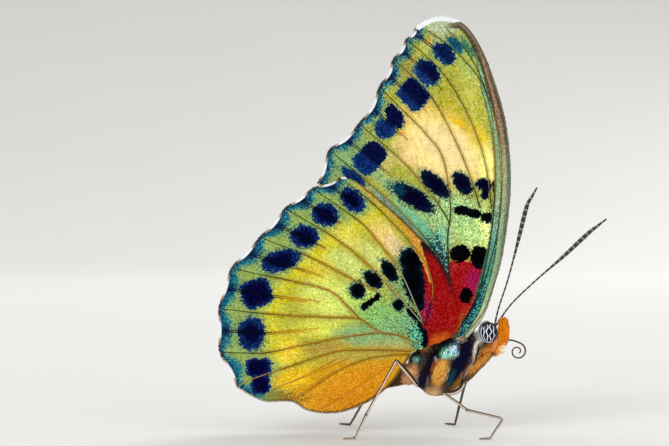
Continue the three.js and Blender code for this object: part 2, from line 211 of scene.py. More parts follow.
# Walking legs: hip, knee, ankle, heel on the floor and claw.
SOLE = 0.14
LEGS = {
    "mid_right": {
        "femur": [(6.9, -0.7, 7.4), (6.3, -1.4, 6.25), (5.1, -2.3, 5.65), (3.7, -2.9, 5.7)],
        "tibia": [(3.7, -2.9, 5.7), (5.3, -4.05, 4.7), (6.9, -5.2, 3.55)],
        "tarsus": [(6.9, -5.2, 3.55), (11.15, -7.45, 2.75), (11.45, -7.65, 2.5), (11.25, -7.8, 2.2),
                   (9.7, -8.8, SOLE), (8.4, -9.4, SOLE)],
    },
    "mid_left": {
        "femur": [(4.3, 0.9, 5.9), (5.8, 2.7, 6.27), (7.3, 4.5, 6.4)],
        "tibia": [(7.3, 4.5, 6.4), (6.95, 5.85, 4.55), (6.6, 7.2, 2.7)],
        "tarsus": [(6.6, 7.2, 2.7), (6.1, 8.5, SOLE), (4.9, 9.42, SOLE)],
    },
    "hind_right": {
        "femur": [(0.3, -0.9, 6.5), (-1.25, -2.95, 8.52), (-2.8, -5.0, 10.3)],
        "tibia": [(-2.8, -5.0, 10.3), (-4.85, -6.3, 6.75), (-6.9, -7.6, 3.2)],
        "tarsus": [(-6.9, -7.6, 3.2), (-8.4, -8.7, SOLE), (-9.8, -9.3, SOLE)],
    },
    "hind_left": {
        "femur": [(0.3, 0.9, 6.5), (-1.4, 2.85, 8.32), (-3.1, 4.8, 9.9)],
        "tibia": [(-3.1, 4.8, 9.9), (-5.2, 6.15, 6.5), (-7.3, 7.5, 3.1)],
        "tarsus": [(-7.3, 7.5, 3.1), (-8.9, 8.6, SOLE), (-10.3, 9.1, SOLE)],
    },
}

# The round leg: half widths, the length of a joint of the foot, and (swelling, reach) at two joints.
LEG = {
    "sides": 12, "femur": 0.22, "femur_bulge": 0.12, "tibia": 0.18, "foot": 0.16, "foot_narrows": 0.06,
    "foot_joint": 0.62, "foot_swells": 0.03, "knee": (0.05, 0.2), "ankle": (0.04, 0.15),
}
SPINE = {"step": 0.42, "out": 0.26, "ahead": 0.3, "radii": [0.035, 0.028, 0.006], "over_floor": 0.03}
CLAW = {"bend": (0.16, 0.12, 0.05), "tip": (0.28, 0.16, -0.07), "radii": [0.05, 0.04, 0.01]}

# The camera looks level along +Y, square to the closed wings.
VIEW = {"centre": (-11.18, 29.03), "width": 92.92, "lens": 100.0, "sensor": 36.0}
# The lamps stand round the model: place, size in metres and share of the key light's power.
LAMPS = {
    "key": ((-600, -870, 690), 0.6, 1.0),
    "fill": ((780, -750, 330), 0.78, 0.3),
    "back_key": ((480, 900, 720), 0.6, 0.95),
    "back_fill": ((-780, 660, 360), 0.78, 0.3),
    "top": ((0, 0, 1260), 0.9, 0.15),
}
LAMP_AIM = (0, 0, 28)
SKY = {"Color": (1.0, 0.99, 0.98, 1), "Strength": 0.95}
FLOOR = {"inner_rings": (60, 8), "flat": 900.0, "bend": 600.0, "bend_rings": 13, "around": 96}

# ---- Small maths ------------------------------------------------------------------------------


def smooth_line(points, count):
    """A smooth line through the points, in equal steps from point to point."""
    points = np.asarray(points, float)
    padded = np.vstack([points[:1], points, points[-1:]])
    t = np.linspace(0, len(points) - 1, count)
    i = np.minimum(t.astype(int), len(points) - 2)
    f = (t - i)[:, None]
    a, b, c, d = padded[i], padded[i + 1], padded[i + 2], padded[i + 3]
    return 0.5 * (2 * b + (c - a) * f + (2 * a - 5 * b + 4 * c - d) * f**2 + (3 * b - a - 3 * c + d) * f**3)


def lengths_along(line):
    return np.r_[0, np.cumsum(np.linalg.norm(np.diff(line, axis=0), axis=1))]


def line_at(line, steps, at):
    """The points of a line at some lengths along it."""
    return np.column_stack([np.interp(at, steps, column) for column in line.T])


def even_line(line, spacing):
    """The same line, cut into equal lengths close to the spacing."""
    steps = lengths_along(line)
    count = max(int(round(steps[-1] / spacing)), 2) + 1
    return line_at(line, steps, np.linspace(0, steps[-1], count))


def unit(vectors):
    return vectors / np.maximum(np.linalg.norm(vectors, axis=-1, keepdims=True), 1e-12)


def distance_to(points, lines):
    """How far each point is from the nearest of some lines of points."""
    return np.abs(side_of(points, lines))


def side_of(points, lines):
    """How far each point is from the nearest line, and below zero on the line's right."""
    nearest = np.full(len(points), 1e9)
    for line in lines:
        for a, b in zip(line[:-1], line[1:]):
            span = b - a
            along = np.clip((points - a) @ span / max(span @ span, 1e-12), 0, 1)
            off = points - a - along[:, None] * span
            side = np.sign(off[:, 1] * span[0] - off[:, 0] * span[1])
            far = np.linalg.norm(off, axis=1)
            nearest = np.where(far < np.abs(nearest), far * np.where(side == 0, 1, side), nearest)
    return nearest


def inside(points, outline):
    """Which points of a plan lie inside a closed outline."""
    found = np.zeros(len(points), bool)
    x, z = points.T
    for (ax, az), (bx, bz) in zip(outline, np.roll(outline, -1, axis=0)):
        if az != bz:
            found ^= ((az > z) != (bz > z)) & (x < (bx - ax) * (z - az) / (bz - az) + ax)
    return found


def half_gap(plan):
    """How far the middle of the forewing stands from the plane of symmetry."""
    out = np.linalg.norm(plan - WING_ROOT, axis=1)
    near_root = HALF_GAP["at_root"] * np.exp(-((out / HALF_GAP["root_reach"]) ** 2))
    return HALF_GAP["least"] + near_root + HALF_GAP["at_tip"] * (out / HALF_GAP["tip_reach"]) ** 2


def hind_half_gap(plan):
    """The hindwing lies outside the forewing and swells round the abdomen."""
    off = distance_to(plan, [np.array(ABDOMEN_LINE)]) / ABDOMEN_BULGE["reach"]
    return half_gap(plan) + HINDWING_OUTSIDE + ABDOMEN_BULGE["depth"] * np.exp(-(off**2))


# ---- Meshes -----------------------------------------------------------------------------------


def new_mesh(name, points, faces, values=None, marks=None, patches=None, smooth=True):
    """A mesh from points in millimetres and arrays of faces with three or four corners each."""
    corners = np.concatenate([face.ravel() for face in faces]).astype(np.int32)
    sizes = np.concatenate([np.full(len(face), face.shape[1]) for face in faces])
    mesh = bpy.data.meshes.new(name)
    mesh.vertices.add(len(points))
    mesh.vertices.foreach_set("co", (points * MM).astype(np.float32).ravel())
    mesh.loops.add(len(corners))
    mesh.loops.foreach_set("vertex_index", corners)
    mesh.polygons.add(len(sizes))
    mesh.polygons.foreach_set("loop_start", np.r_[0, np.cumsum(sizes)[:-1]].astype(np.int32))
    mesh.polygons.foreach_set("use_smooth", np.full(len(sizes), smooth))
    if marks is not None:
        mesh.polygons.foreach_set("material_index", marks.astype(np.int32))
    for key, value in (values or {}).items():
        write_value(mesh, key, value)
    if patches is not None:
        layer = mesh.uv_layers.new(name="OFBake")
        layer.uv.foreach_set("vector", patches[corners].astype(np.float32).ravel())
    mesh.update(calc_edges=True)
    return mesh


def write_value(mesh, key, value):
    """Keeps a number or a vector for each point of a mesh, for its material to read."""
    vector = value.ndim == 2
    layer = mesh.attributes.new(key, "FLOAT_VECTOR" if vector else "FLOAT", "POINT")
    layer.data.foreach_set("vector" if vector else "value", value.astype(np.float32).ravel())


def add_piece(mesh, materials, nodes=()):
    """Shows a mesh as a piece of the model that stands for some nodes of the frame."""
    piece = bpy.data.objects.new(mesh.name, mesh)
    bpy.context.scene.collection.objects.link(piece)
    for material in materials:
        mesh.materials.append(material)
    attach(piece, "root")
    if nodes:
        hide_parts(*nodes)
    return piece


def on_side(points, faces, side):
    """A shape made for the right side, or its mirror image for the left."""
    if side < 0:
        return points, faces
    return points * (1, -1, 1), [face[:, ::-1] for face in faces]


def joined(shapes):
    """Several (points, faces) as one."""
    points, faces, start = [], [], 0
    for some_points, some_faces in shapes:
        points.append(some_points)
        faces += [face + start for face in some_faces]
        start += len(some_points)
    return np.concatenate(points), faces


def tube(line, radii, sides, side=(0, 1, 0)):
    """A closed tube along a line, with half its width and half its height at each point."""
    line = np.asarray(line, float)
    radii = np.asarray(radii, float)
    if radii.ndim == 1:
        radii = np.column_stack([radii, radii])
    along = unit(np.gradient(line, axis=0))
    across = np.empty_like(line)
    last = np.asarray(side, float)
    for i, direction in enumerate(along):
        last = unit(last - direction * (last @ direction))
        across[i] = last
    up = np.cross(along, across)
    turn = np.arange(sides) * 2 * np.pi / sides
    wide = radii[:, :1, None] * np.cos(turn)[None, :, None]
    high = radii[:, 1:, None] * np.sin(turn)[None, :, None]
    rings = line[:, None] + across[:, None] * wide + up[:, None] * high
    points = np.concatenate([rings.reshape(-1, 3), line[:1], line[-1:]])
    a = np.arange(len(line) - 1)[:, None] * sides + np.arange(sides)
    b = np.arange(len(line) - 1)[:, None] * sides + (np.arange(sides) + 1) % sides
    quads = np.stack([a, b, b + sides, a + sides], -1).reshape(-1, 4)
    first, end = len(points) - 2, len(points) - 1
    start_cap = np.column_stack([np.full(sides, first), b[0], a[0]])
    end_cap = np.column_stack([np.full(sides, end), a[-1] + sides, b[-1] + sides])
    return points, [quads, start_cap, end_cap]


def ball(at, radii, columns=32, rows=20):
    """A closed ball of its own half sizes."""
    tilt = np.linspace(0, np.pi, rows + 1)
    line = np.column_stack([np.zeros(rows + 1), np.zeros(rows + 1), -np.cos(tilt)])
    points, faces = tube(line, np.maximum(np.sin(tilt), 1e-3), columns, (1, 0, 0))
    return points * radii + at, faces


# How many points each blade and each lock of a coat has.
VANE_POINTS, LOCK_POINTS = 5, 7


def vanes(roots, reach, half_side, drop, tip_width):
    """Thin flat blades, five points each: the root's two, the tip's two and one below."""
    points = np.stack(
        [
            roots - half_side,
            roots + half_side,
            roots + reach + half_side * tip_width,
            roots + reach - half_side * tip_width,
            roots + reach / 2 + drop,
        ],
        axis=1,
    ).reshape(-1, 3)
    start = np.arange(len(roots))[:, None] * VANE_POINTS
    tops = start + np.array([0, 1, 2, 3])
    sides = [start + np.array(corner) for corner in ((1, 0, 4), (2, 1, 4), (3, 2, 4), (0, 3, 4))]
    return points, [tops, np.concatenate(sides)]


def locks(roots, normals, reach, width, lift):
    """Bent tapering locks of hair, seven points each."""
    side = unit(np.cross(reach, normals)) * width[:, None]
    up = normals * width[:, None] * 0.6
    middle = roots + reach * 0.5 + normals * lift[:, None]
    tip = roots + reach + normals * lift[:, None] * 0.7
    ring = np.stack([-side, up, side], axis=1)
    points = np.concatenate([roots[:, None] + ring, middle[:, None] + ring * 0.8, tip[:, None]], axis=1)
    start = np.arange(len(roots))[:, None] * LOCK_POINTS
    quads = [start + np.array(c) for c in ((0, 1, 4, 3), (1, 2, 5, 4), (2, 0, 3, 5))]
    ends = [start + np.array(c) for c in ((2, 1, 0), (3, 4, 6), (4, 5, 6), (5, 3, 6))]
    return points.reshape(-1, 3), [np.concatenate(quads), np.concatenate(ends)]


def bake_patches(plan, low, high, per_tuft, size=0.0015):
    """Bake map places: each tuft is a small patch at its root's place on the plan."""
    span = float(np.max(np.asarray(high) - low)) * 1.02
    middle = (plan - low) / span + 0.005
    corner = np.array([(-1, -1), (1, -1), (1, 1), (-1, 1), (0, 0), (0, 1), (0, -1)])[:per_tuft]
    return (middle.reshape(-1, per_tuft, 2) + corner * size).reshape(-1, 2)


# ---- Shader maths -----------------------------------------------------------------------------


class Wire:
    """A node's output, written in sums as a number is."""

    def __init__(self, finish, socket):
        self.finish = finish
        self.socket = socket

    def math(self, operation, *others):
        inputs = dict(enumerate((self, *others)))
        return self.finish.node("ShaderNodeMath", {"operation": operation}, inputs)

    def after(self, operation, first):
        """The same with another value in first place, for sums such as 1 - mask."""
        return self.finish.node("ShaderNodeMath", {"operation": operation}, {0: first, 1: self})

    def __add__(self, other):
        return self.math("ADD", other)

    __radd__ = __add__

    def __sub__(self, other):
        return self.math("SUBTRACT", other)

    def __rsub__(self, other):
        return self.after("SUBTRACT", other)

    def __mul__(self, other):
        return self.math("MULTIPLY", other)

    __rmul__ = __mul__

    def __truediv__(self, other):
        return self.math("DIVIDE", other)

    def __rtruediv__(self, other):
        return self.after("DIVIDE", other)

    def least(self, other):
        return self.math("MINIMUM", other)

    def most(self, other):
        return self.math("MAXIMUM", other)

    def fade(self, start, end):
        """0 at start and 1 at end, with a soft step between."""
        settings = {"interpolation_type": "SMOOTHSTEP"}
        return self.finish.node("ShaderNodeMapRange", settings, {0: self, 1: start, 2: end, 3: 0.0, 4: 1.0})


class Finish:
    """One material and the nodes that paint it."""

    def __init__(self, name, **constants):
        self.material = bpy.data.materials.new(name)
        self.material.use_nodes = True
        self.tree = self.material.node_tree
        self.shader = self.tree.nodes["Principled BSDF"]
        for key, value in constants.items():
            self.shader.inputs[key].default_value = value

    def node(self, kind, settings=None, inputs=None, output=0):
        """Adds a node: its settings first, then its inputs by name or place."""
        made = self.tree.nodes.new(kind)
        for key, value in (settings or {}).items():
            setattr(made, key, value)
        for key, value in (inputs or {}).items():
            self.put(made.inputs[key], value)
        return Wire(self, made.outputs[output])

    def put(self, socket, value):
        """Links a wire to a socket, or sets the socket to a number, a vector or a web code's colour."""
        if isinstance(value, Wire):
            self.tree.links.new(value.socket, socket)
        else:
            socket.default_value = tint(value) if isinstance(value, str) else value

    def value(self, key):
        """A number that each point of the mesh keeps."""
        return self.node("ShaderNodeAttribute", {"attribute_name": key}, output="Fac")

    def vector(self, key):
        """A vector that each point of the mesh keeps."""
        return self.node("ShaderNodeAttribute", {"attribute_name": key}, output="Vector")

    def place(self):
        """Where the point is, in millimetres."""
        at = self.node("ShaderNodeTexCoord", output="Object")
        return self.node("ShaderNodeVectorMath", {"operation": "SCALE"}, {0: at, "Scale": 1 / MM})

    def vectors(self, operation, first, second, output="Vector"):
        """A sum of two vectors, part by part, or their dot product."""
        return self.node("ShaderNodeVectorMath", {"operation": operation}, {0: first, 1: second}, output)

    def part(self, vector, axis):
        """One of a vector's three numbers."""
        return self.node("ShaderNodeSeparateXYZ", None, {0: vector}, axis)

    def noise(self, at, scale, detail=2.0, output="Fac"):
        inputs = {"Vector": at, "Scale": scale, "Detail": detail}
        return self.node("ShaderNodeTexNoise", None, inputs, output)

    def mix(self, factor, first, second):
        return self.node("ShaderNodeMix", {"data_type": "RGBA"}, {0: factor, 6: first, 7: second}, 2)

    def shift(self, colour, hue=0.5, saturation=1.0, value=1.0):
        """Turns a colour's hue away from 0.5, and scales its saturation and brightness."""
        inputs = {"Hue": hue, "Saturation": saturation, "Value": value, "Fac": 1.0, "Color": colour}
        return self.node("ShaderNodeHueSaturation", None, inputs)

    def patch(self, plan, centre, size, turn=0.0, boxy=False):
        """How far a point lies from the middle of a patch: 0 there, and 1 on its edge."""
        inputs = {
            "Vector": plan,
            "Location": (*centre, 0),
            "Rotation": (0, 0, math.radians(turn)),
            "Scale": (*size, 1),
        }
        local = self.node("ShaderNodeMapping", {"vector_type": "TEXTURE"}, inputs)
        if boxy:
            local = self.vectors("MULTIPLY", local, local)
        return self.node("ShaderNodeVectorMath", {"operation": "LENGTH"}, {0: local}, "Value")

    def bump(self, height, strength, depth):
        inputs = {"Height": height, "Strength": strength, "Distance": depth * MM}
        self.put(self.shader.inputs["Normal"], self.node("ShaderNodeBump", None, inputs))

    def paint(self, colour, socket="Base Color"):
        self.put(self.shader.inputs[socket], colour)


def tint(code):
    """A linear colour from its six-figure web code."""
    parts = [int(code[i : i + 2], 16) / 255 for i in (0, 2, 4)]
    return (*[c / 12.92 if c <= 0.04045 else ((c + 0.055) / 1.055) ** 2.4 for c in parts], 1.0)


# ---- Wings ------------------------------------------------------------------------------------


EDGE_STEPS = {"leading": 140, "scallop": 24, "trailing": 120}


def wing_edges(form, inset=0.0, with_fringe=True):
    """The leading edge, outer margin and trailing edge, and how far the fringe reaches out from each."""
    leading = smooth_line(form["leading"], EDGE_STEPS["leading"])
    spans = len(form["vein_ends"]) - 1
    margin = smooth_line(form["vein_ends"], spans * EDGE_STEPS["scallop"] + 1)
    t = np.linspace(0, spans, len(margin))
    ahead = unit(np.gradient(margin, axis=0))
    inward = np.column_stack([-ahead[:, 1], ahead[:, 0]])
    margin = margin + inward * form["scallop"] * np.sin(np.pi * t)[:, None] ** 2
    trailing = smooth_line(form["trailing"], EDGE_STEPS["trailing"])
    fringe = form["fringe"]
    at_apex = (leading[:, 0] < fringe["starts_at_x"]) & (leading[:, 1] > leading[:, 1].max() * 0.6)
    at_end = trailing[:, 0] < fringe["ends_at_x"]
    reach = np.concatenate([
        np.where(at_apex, fringe["at_start"], 0)[:-1],
        np.full(len(margin) - 1, fringe["margin"]),
        np.where(at_end, fringe["at_end"], 0),
    ])
    outline = np.concatenate([leading[:-1], margin[:-1], trailing])
    blur = np.hanning(11) / np.hanning(11).sum()
    reach = np.convolve(np.r_[reach[-5:], reach, reach[:5]], blur, "valid")
    pull = np.maximum(reach, inset) if with_fringe else np.zeros(len(outline))
    ahead = unit(np.roll(outline, -2, axis=0) - np.roll(outline, 2, axis=0))
    outline = outline + np.column_stack([-ahead[:, 1], ahead[:, 0]]) * pull[:, None]
    cuts = [len(leading) - 1, len(leading) + len(margin) - 2]
    parts = np.split(np.arange(len(outline)), cuts)
    parts[0] = np.r_[parts[0], parts[1][0]]
    parts[1] = np.r_[parts[1], parts[2][0]]
    return [outline[part] for part in parts], [reach[part] for part in parts]


class Wing:
    """One kind of wing: its edges, veins and the charts that the scales and finishes read."""

    STEP = 0.15

    def __init__(self, form, veins, folds, creases, middle):
        self.form, self.middle = form, middle
        (self.leading, self.margin, self.trailing), reach = wing_edges(form, 0.1)
        self.outline = np.concatenate([self.leading[:-1], self.margin[:-1], self.trailing])
        self.fringe_reach = np.concatenate([reach[0][:-1], reach[1][:-1], reach[2]])
        self.veins = {name: smooth_line(line, 60) for name, (line, *_) in veins.items()}
        self.vein_radii = {name: radii for name, (_, *radii) in veins.items()}
        self.folds = [self.between(*fold) for fold in folds]
        self.creases = [smooth_line(line, 24) for line in creases]
        self.low = self.outline.min(0) - 1
        self.high = self.outline.max(0) + 1
        counts = np.ceil((self.high - self.low) / self.STEP).astype(int) + 1
        grid = np.stack(np.meshgrid(*[np.arange(n) for n in counts], indexing="ij"), -1)
        plan = self.low + grid.reshape(-1, 2) * self.STEP
        self.charts = {
            "vein": distance_to(plan, [line[::3] for line in self.veins.values()]),
            "rim": distance_to(plan, [self.margin[::3], self.trailing[:12:3]]),
            "hem": distance_to(plan, [self.trailing[::3]]),
            "lead": distance_to(plan, [self.leading[::3]]),
            "fold": side_of(plan, [line[::3] for line in self.folds]),
        }
        self.charts = {key: chart.reshape(counts) for key, chart in self.charts.items()}

    def between(self, one, other, reach):
        """The line midway between two veins, from the margin inwards."""
        steps = np.linspace(0.1, reach, 28)
        lines = [self.veins[name][::-1] for name in (one, other)]
        return sum(line_at(line, lengths_along(line), steps) for line in lines) / 2

    def read(self, key, plan):
        """A chart's value at points of the plan."""
        table = self.charts[key]
        at = np.clip((plan - self.low) / self.STEP, 0, np.array(table.shape) - 1.001)
        i, j = at.astype(int).T
        f, g = (at - at.astype(int)).T
        near = table[i, j] * (1 - f) + table[i + 1, j] * f
        far = table[i, j + 1] * (1 - f) + table[i + 1, j + 1] * f
        return near * (1 - g) + far * g

    def relief(self, plan):
        """The membrane is drawn up to its veins, creased between them and waves a little."""
        ridge = RELIEF["ridge"] * np.exp(-((self.read("vein", plan) / RELIEF["ridge_reach"]) ** 2))
        crease = RELIEF["fold"] * np.exp(-((self.read("fold", plan) / RELIEF["fold_reach"]) ** 2))
        wave = np.sin(plan[:, 0] * 0.55 + plan[:, 1] * 0.35) * np.sin(plan[:, 1] * 0.5)
        return ridge - crease + RELIEF["wave"] * wave

    def lay(self, plan, height):
        """Points on the right wing, at a height over the middle of its membrane."""
        y = -(self.middle(plan) + self.relief(plan) + height)
        return np.column_stack([plan[:, 0], y, plan[:, 1]])

    def coat(self, plan):
        """How a coat of blades rooted in the plan is meshed: flat shading and its bake map places."""
        return {"patches": bake_patches(plan, self.low, self.high, VANE_POINTS), "smooth": False}

    def rib_facts(self, points):
        """What the finishes of veins and creases read at each point."""
        return {key: self.read(key, points[:, [0, 2]]) for key in ("rim", "lead")}

    def facts(self, plan, tone):
        """What the finish of the underside reads at each point."""
        out = plan - np.array(self.form["fan"])
        turn = np.arctan2(out[:, 1], -out[:, 0])
        ray = np.column_stack([turn * 22, np.linalg.norm(out, axis=1), np.zeros(len(plan))])
        values = {"plan": np.column_stack([plan, np.zeros(len(plan))]), "tone": tone, "ray": ray}
        return values | {key: self.read(key, plan) for key in self.charts}


# Each layer of a wing is its points, its faces, what its finish reads and how it is meshed.


def membrane(wing, thickness, around=230, rings=30):
    """A closed thin shell from the hub of the wing to its edge."""
    closed = np.concatenate([wing.outline, wing.outline[:1]])
    edge = even_line(closed, np.linalg.norm(np.diff(closed, axis=0), axis=1).sum() / around)[:-1]
    around = len(edge)
    hub = np.array(wing.form["hub"], float)
    shares = np.linspace(0, 1, rings + 1)[1:] ** 0.8
    plan = np.concatenate([hub[None], *[hub + (edge - hub) * share for share in shares]])
    outer, inner = wing.lay(plan, thickness / 2), wing.lay(plan, -thickness / 2)
    s = np.arange(around)
    after = (s + 1) % around
    fan = np.column_stack([np.zeros(around, int), s + 1, after + 1])
    a = 1 + np.arange(rings - 1)[:, None] * around + s
    b = 1 + np.arange(rings - 1)[:, None] * around + after
    quads = np.stack([a, a + around, b + around, b], -1).reshape(-1, 4)
    count = len(plan)
    last = 1 + (rings - 1) * around
    rim = np.column_stack([last + s, last + s + count, last + after + count, last + after])
    faces = [fan, quads, fan[:, ::-1] + count, quads[:, ::-1] + count, rim]
    marks = np.repeat([0, 0, 1, 1, 0], [len(face) for face in faces])
    values = wing.facts(np.concatenate([plan, plan]), np.full(2 * count, 0.5))
    return np.concatenate([outer, inner]), faces, values, {"marks": marks}


def scale_rows(wing, pitch):
    """Places in rows that fan out from the wing's root, each half a step off the row before."""
    fan = np.array(wing.form["fan"])
    middle = unit(np.array(wing.form["hub"]) - fan)
    out = wing.outline - fan
    turn = np.arctan2(middle[0] * out[:, 1] - middle[1] * out[:, 0], out @ middle)
    base = math.atan2(middle[1], middle[0])
    rows = []
    for row, radius in enumerate(np.arange(SCALE["first_row"], np.linalg.norm(out, axis=1).max(), pitch)):
        step = pitch / radius
        angles = np.arange(turn.min() + (row % 2) * step / 2, turn.max(), step) + base
        rows.append(np.column_stack([np.cos(angles), np.sin(angles)]) * radius + fan)
    return np.concatenate(rows)


def wing_scales(wing, pitch, length, rng, hidden_by=None):
    """Overlapping scales on the wing's outer side, but not where another wing hides it."""
    plan = scale_rows(wing, pitch)
    plan += rng.uniform(-SCALE["stray"], SCALE["stray"], plan.shape) * pitch
    plan = plan[inside(plan, wing.outline)]
    if hidden_by is not None:
        hidden = inside(plan, hidden_by.outline) & (hidden_by.read("lead", plan) > SCALE["tucked_under"])
        plan = plan[~hidden]
    lie = unit(unit(plan - wing.form["fan"]) + rng.normal(0, SCALE["aim"], plan.shape))
    tip = plan + lie * length * rng.uniform(*SCALE["lengths"], (len(plan), 1))
    kept = inside(tip, wing.outline)
    plan, lie, tip = plan[kept], lie[kept], tip[kept]
    count = len(plan)
    cross = np.column_stack([-lie[:, 1], lie[:, 0]]) * (pitch * SCALE["half_width"])
    root = wing.lay(plan, SCALE["height"] + SCALE["root"])
    reach = wing.lay(tip, SCALE["height"] + rng.uniform(*SCALE["tip_lift"], count)) - root
    roll = rng.normal(0, SCALE["roll"], count)
    side = np.column_stack([cross[:, 0], np.linalg.norm(cross, axis=1) * roll, cross[:, 1]])
    side[np.cross(side, reach)[:, 1] > 0] *= -1
    points, faces = vanes(root, reach, side, (0, SCALE["keel"], 0), SCALE["tip_width"])
    plan = np.repeat(plan, VANE_POINTS, axis=0)
    tone = np.repeat(rng.uniform(0, 1, count), VANE_POINTS)
    return points, faces, wing.facts(plan, tone), wing.coat(plan)


def vein_tubes(wing):
    """Round ribs that taper to the margin, half sunk in the membrane."""
    shapes = []
    for name, line in wing.veins.items():
        line = even_line(line, RIB["step"])
        line = line[inside(line, wing.outline)]
        radii = np.linspace(*wing.vein_radii[name], len(line))
        radii = np.column_stack([radii, radii * RIB["flatness"]])
        shapes.append(tube(wing.lay(line, RIB["height"]), radii, RIB["sides"]))
    points, faces = joined(shapes)
    return points, faces, wing.rib_facts(points), {}


def crease_tubes(wing):
    """Thin raised lines: a pair along each fold, and one along each crease."""
    lines = []
    for line in wing.folds:
        ahead = unit(np.gradient(line, axis=0))
        off = np.column_stack([-ahead[:, 1], ahead[:, 0]]) * CREASE["off_fold"]
        lines += [line + off, line[:-4] - off[:-4]]
    shapes = []
    for line in lines + wing.creases:
        line = even_line(line, CREASE["step"])
        line = line[inside(line, wing.outline)]
        radii = CREASE["radius"] * np.linspace(1.0, CREASE["thin_end"], len(line))
        shapes.append(tube(wing.lay(line, CREASE["height"]), radii, CREASE["sides"]))
    points, faces = joined(shapes)
    return points, faces, wing.rib_facts(points), {}


def fringe_hairs(wing, rng):
    """Flat hairs along the edge, pale in the scallops and dark at the vein ends."""
    (leading, margin, trailing), _ = wing_edges(wing.form, with_fringe=False)
    ends = np.concatenate([leading[:-1], margin[:-1], trailing])
    t = np.linspace(0, len(wing.form["vein_ends"]) - 1, len(margin))[:-1]
    pale = np.concatenate([np.ones(len(leading) - 1), np.sin(np.pi * t) ** 4, np.full(len(trailing), 0.3)])
    pale = np.convolve(np.r_[pale[-2:], pale, pale[:2]], np.ones(5) / 5, "valid")
    kept = np.flatnonzero(wing.fringe_reach > 0.1)
    kept = np.arange(kept[0], kept[-1] + 1)
    steps = lengths_along(wing.outline[kept])
    at = np.arange(0, steps[-1], FRINGE_HAIR["spacing"])
    plan, ends = line_at(wing.outline[kept], steps, at), line_at(ends[kept], steps, at)
    pale = np.interp(at, steps, pale[kept])
    count = len(at)
    outward = unit(ends - plan)
    size = np.linalg.norm(ends - plan, axis=1) + 0.1
    size = size * rng.uniform(*FRINGE_HAIR["lengths"], count)
    plan = plan - outward * FRINGE_HAIR["root_inside"]
    tip = plan + unit(outward + rng.normal(0, FRINGE_HAIR["aim"], (count, 2))) * size[:, None]
    layer = rng.uniform(-FRINGE_HAIR["layer"], FRINGE_HAIR["layer"], count)
    root = wing.lay(plan, layer)
    reach = wing.lay(tip, layer + rng.normal(0, FRINGE_HAIR["spread"], count)) - root
    side = np.column_stack([-outward[:, 1], np.zeros(count), outward[:, 0]]) * FRINGE_HAIR["half_width"]
    side[np.cross(side, reach)[:, 1] > 0] *= -1
    points, faces = vanes(root, reach, side, (0, FRINGE_HAIR["keel"], 0), FRINGE_HAIR["tip_width"])
    tone = rng.uniform(0, 1, count)
    values = {"pale": np.repeat(pale, VANE_POINTS), "tone": np.repeat(tone, VANE_POINTS)}
    return points, faces, values, wing.coat(np.repeat(plan, VANE_POINTS, axis=0))


# ---- Wing finishes ----------------------------------------------------------------------------

# Soft zones of ground colour: colour, middle, half sizes, turn in degrees, and how far in the fade runs.
FOREWING_ZONES = [
    ("bebd58", (8.2, 45.0), (3.2, 8.0), 14, 0.3),
    ("aeab48", (4.2, 47.4), (2.2, 4.4), 28, 0.3),
    ("c8b448", (5.6, 42.8), (2.4, 4.6), 34, 0.2),
    ("a09650", (-1.0, 50.0), (1.7, 5.5), 30, 0.3),
    ("d8b650", (0.2, 43.0), (3.6, 4.4), -40, 0.4),
    # The next four pale peach-cream zones are painted sheen: light that the scales reflect, painted as
    # ground colour.
    ("f0d884", (2.6, 41.4), (6.4, 3.8), -30, 0.4),
    ("fce29c", (4.2, 38.4), (7.6, 4.6), -20, 0.5),
    ("f8dea4", (4.2, 39.6), (5.0, 2.8), -34, 0.4),
    ("f4d694", (-1.2, 38.6), (2.6, 2.0), -30, 0.4),
    ("fff69c", (10.0, 36.9), (1.5, 3.8), 3, 0.4),
    ("c2b868", (-3.6, 37.6), (1.6, 3.4), -45, 0.3),
    ("8db07c", (-9.6, 38.2), (3.6, 4.6), -35, 0.3),
    ("a6ca88", (5.6, 30.0), (6.4, 3.4), -8, 0.4),
    ("74b794", (0.2, 28.0), (2.1, 6.6), 42, 0.4),
    ("e8f49c", (9.6, 28.0), (1.6, 3.4), 0, 0.4),
    ("98ae70", (-4.8, 35.2), (1.2, 4.0), 48, 0.3),
    ("b4d488", (7.6, 27.0), (2.4, 2.6), 0, 0.3),
    ("8cc49c", (4.0, 26.8), (1.5, 2.6), 15, 0.3),
    ("dcc85c", (8.6, 40.8), (1.7, 2.8), 20, 0.1),
    ("aab070", (3.8, 53.8), (4.6, 2.6), -30, 0.3),
    ("aebc66", (7.6, 50.4), (1.7, 2.8), 25, 0.3),
    ("ccb050", (1.9, 54.0), (1.2, 0.7), -40, 0.2),
    ("d4b450", (-0.4, 51.6), (1.1, 0.8), -40, 0.2),
    ("b6c09c", (3.4, 56.2), (3.2, 1.4), -12, 0.5),
    ("e0ba40", (5.9, 42.9), (3.2, 0.75), -36, 0.1),
    ("e8cc50", (9.3, 40.8), (0.9, 1.7), 20, 0.1),
    ("e8b850", (-2.0, 41.6), (1.0, 0.6), -40, 0.2),
]
FOREWING_SUBMARGIN = [
    ((3.94, 52.35), (1.8, 1.25), -42, False), ((1.62, 49.7), (2.0, 1.55), -48, False),
    ((-0.25, 46.65), (2.1, 1.75), -42, True), ((-2.8, 43.6), (1.8, 1.1), -60, False),
    ((-4.1, 41.95), (1.5, 1.4), 0, False), ((-6.24, 37.85), (2.35, 1.7), 45, True),
    ((-8.5, 35.3), (2.1, 0.7), -38, False),
]
FOREWING_APICAL = [((5.5, 53.5), (1.45, 0.66), -43, False)]
FOREWING_TIP_STREAK = [((7.2, 53.2), (1.7, 0.52), -56, False)]
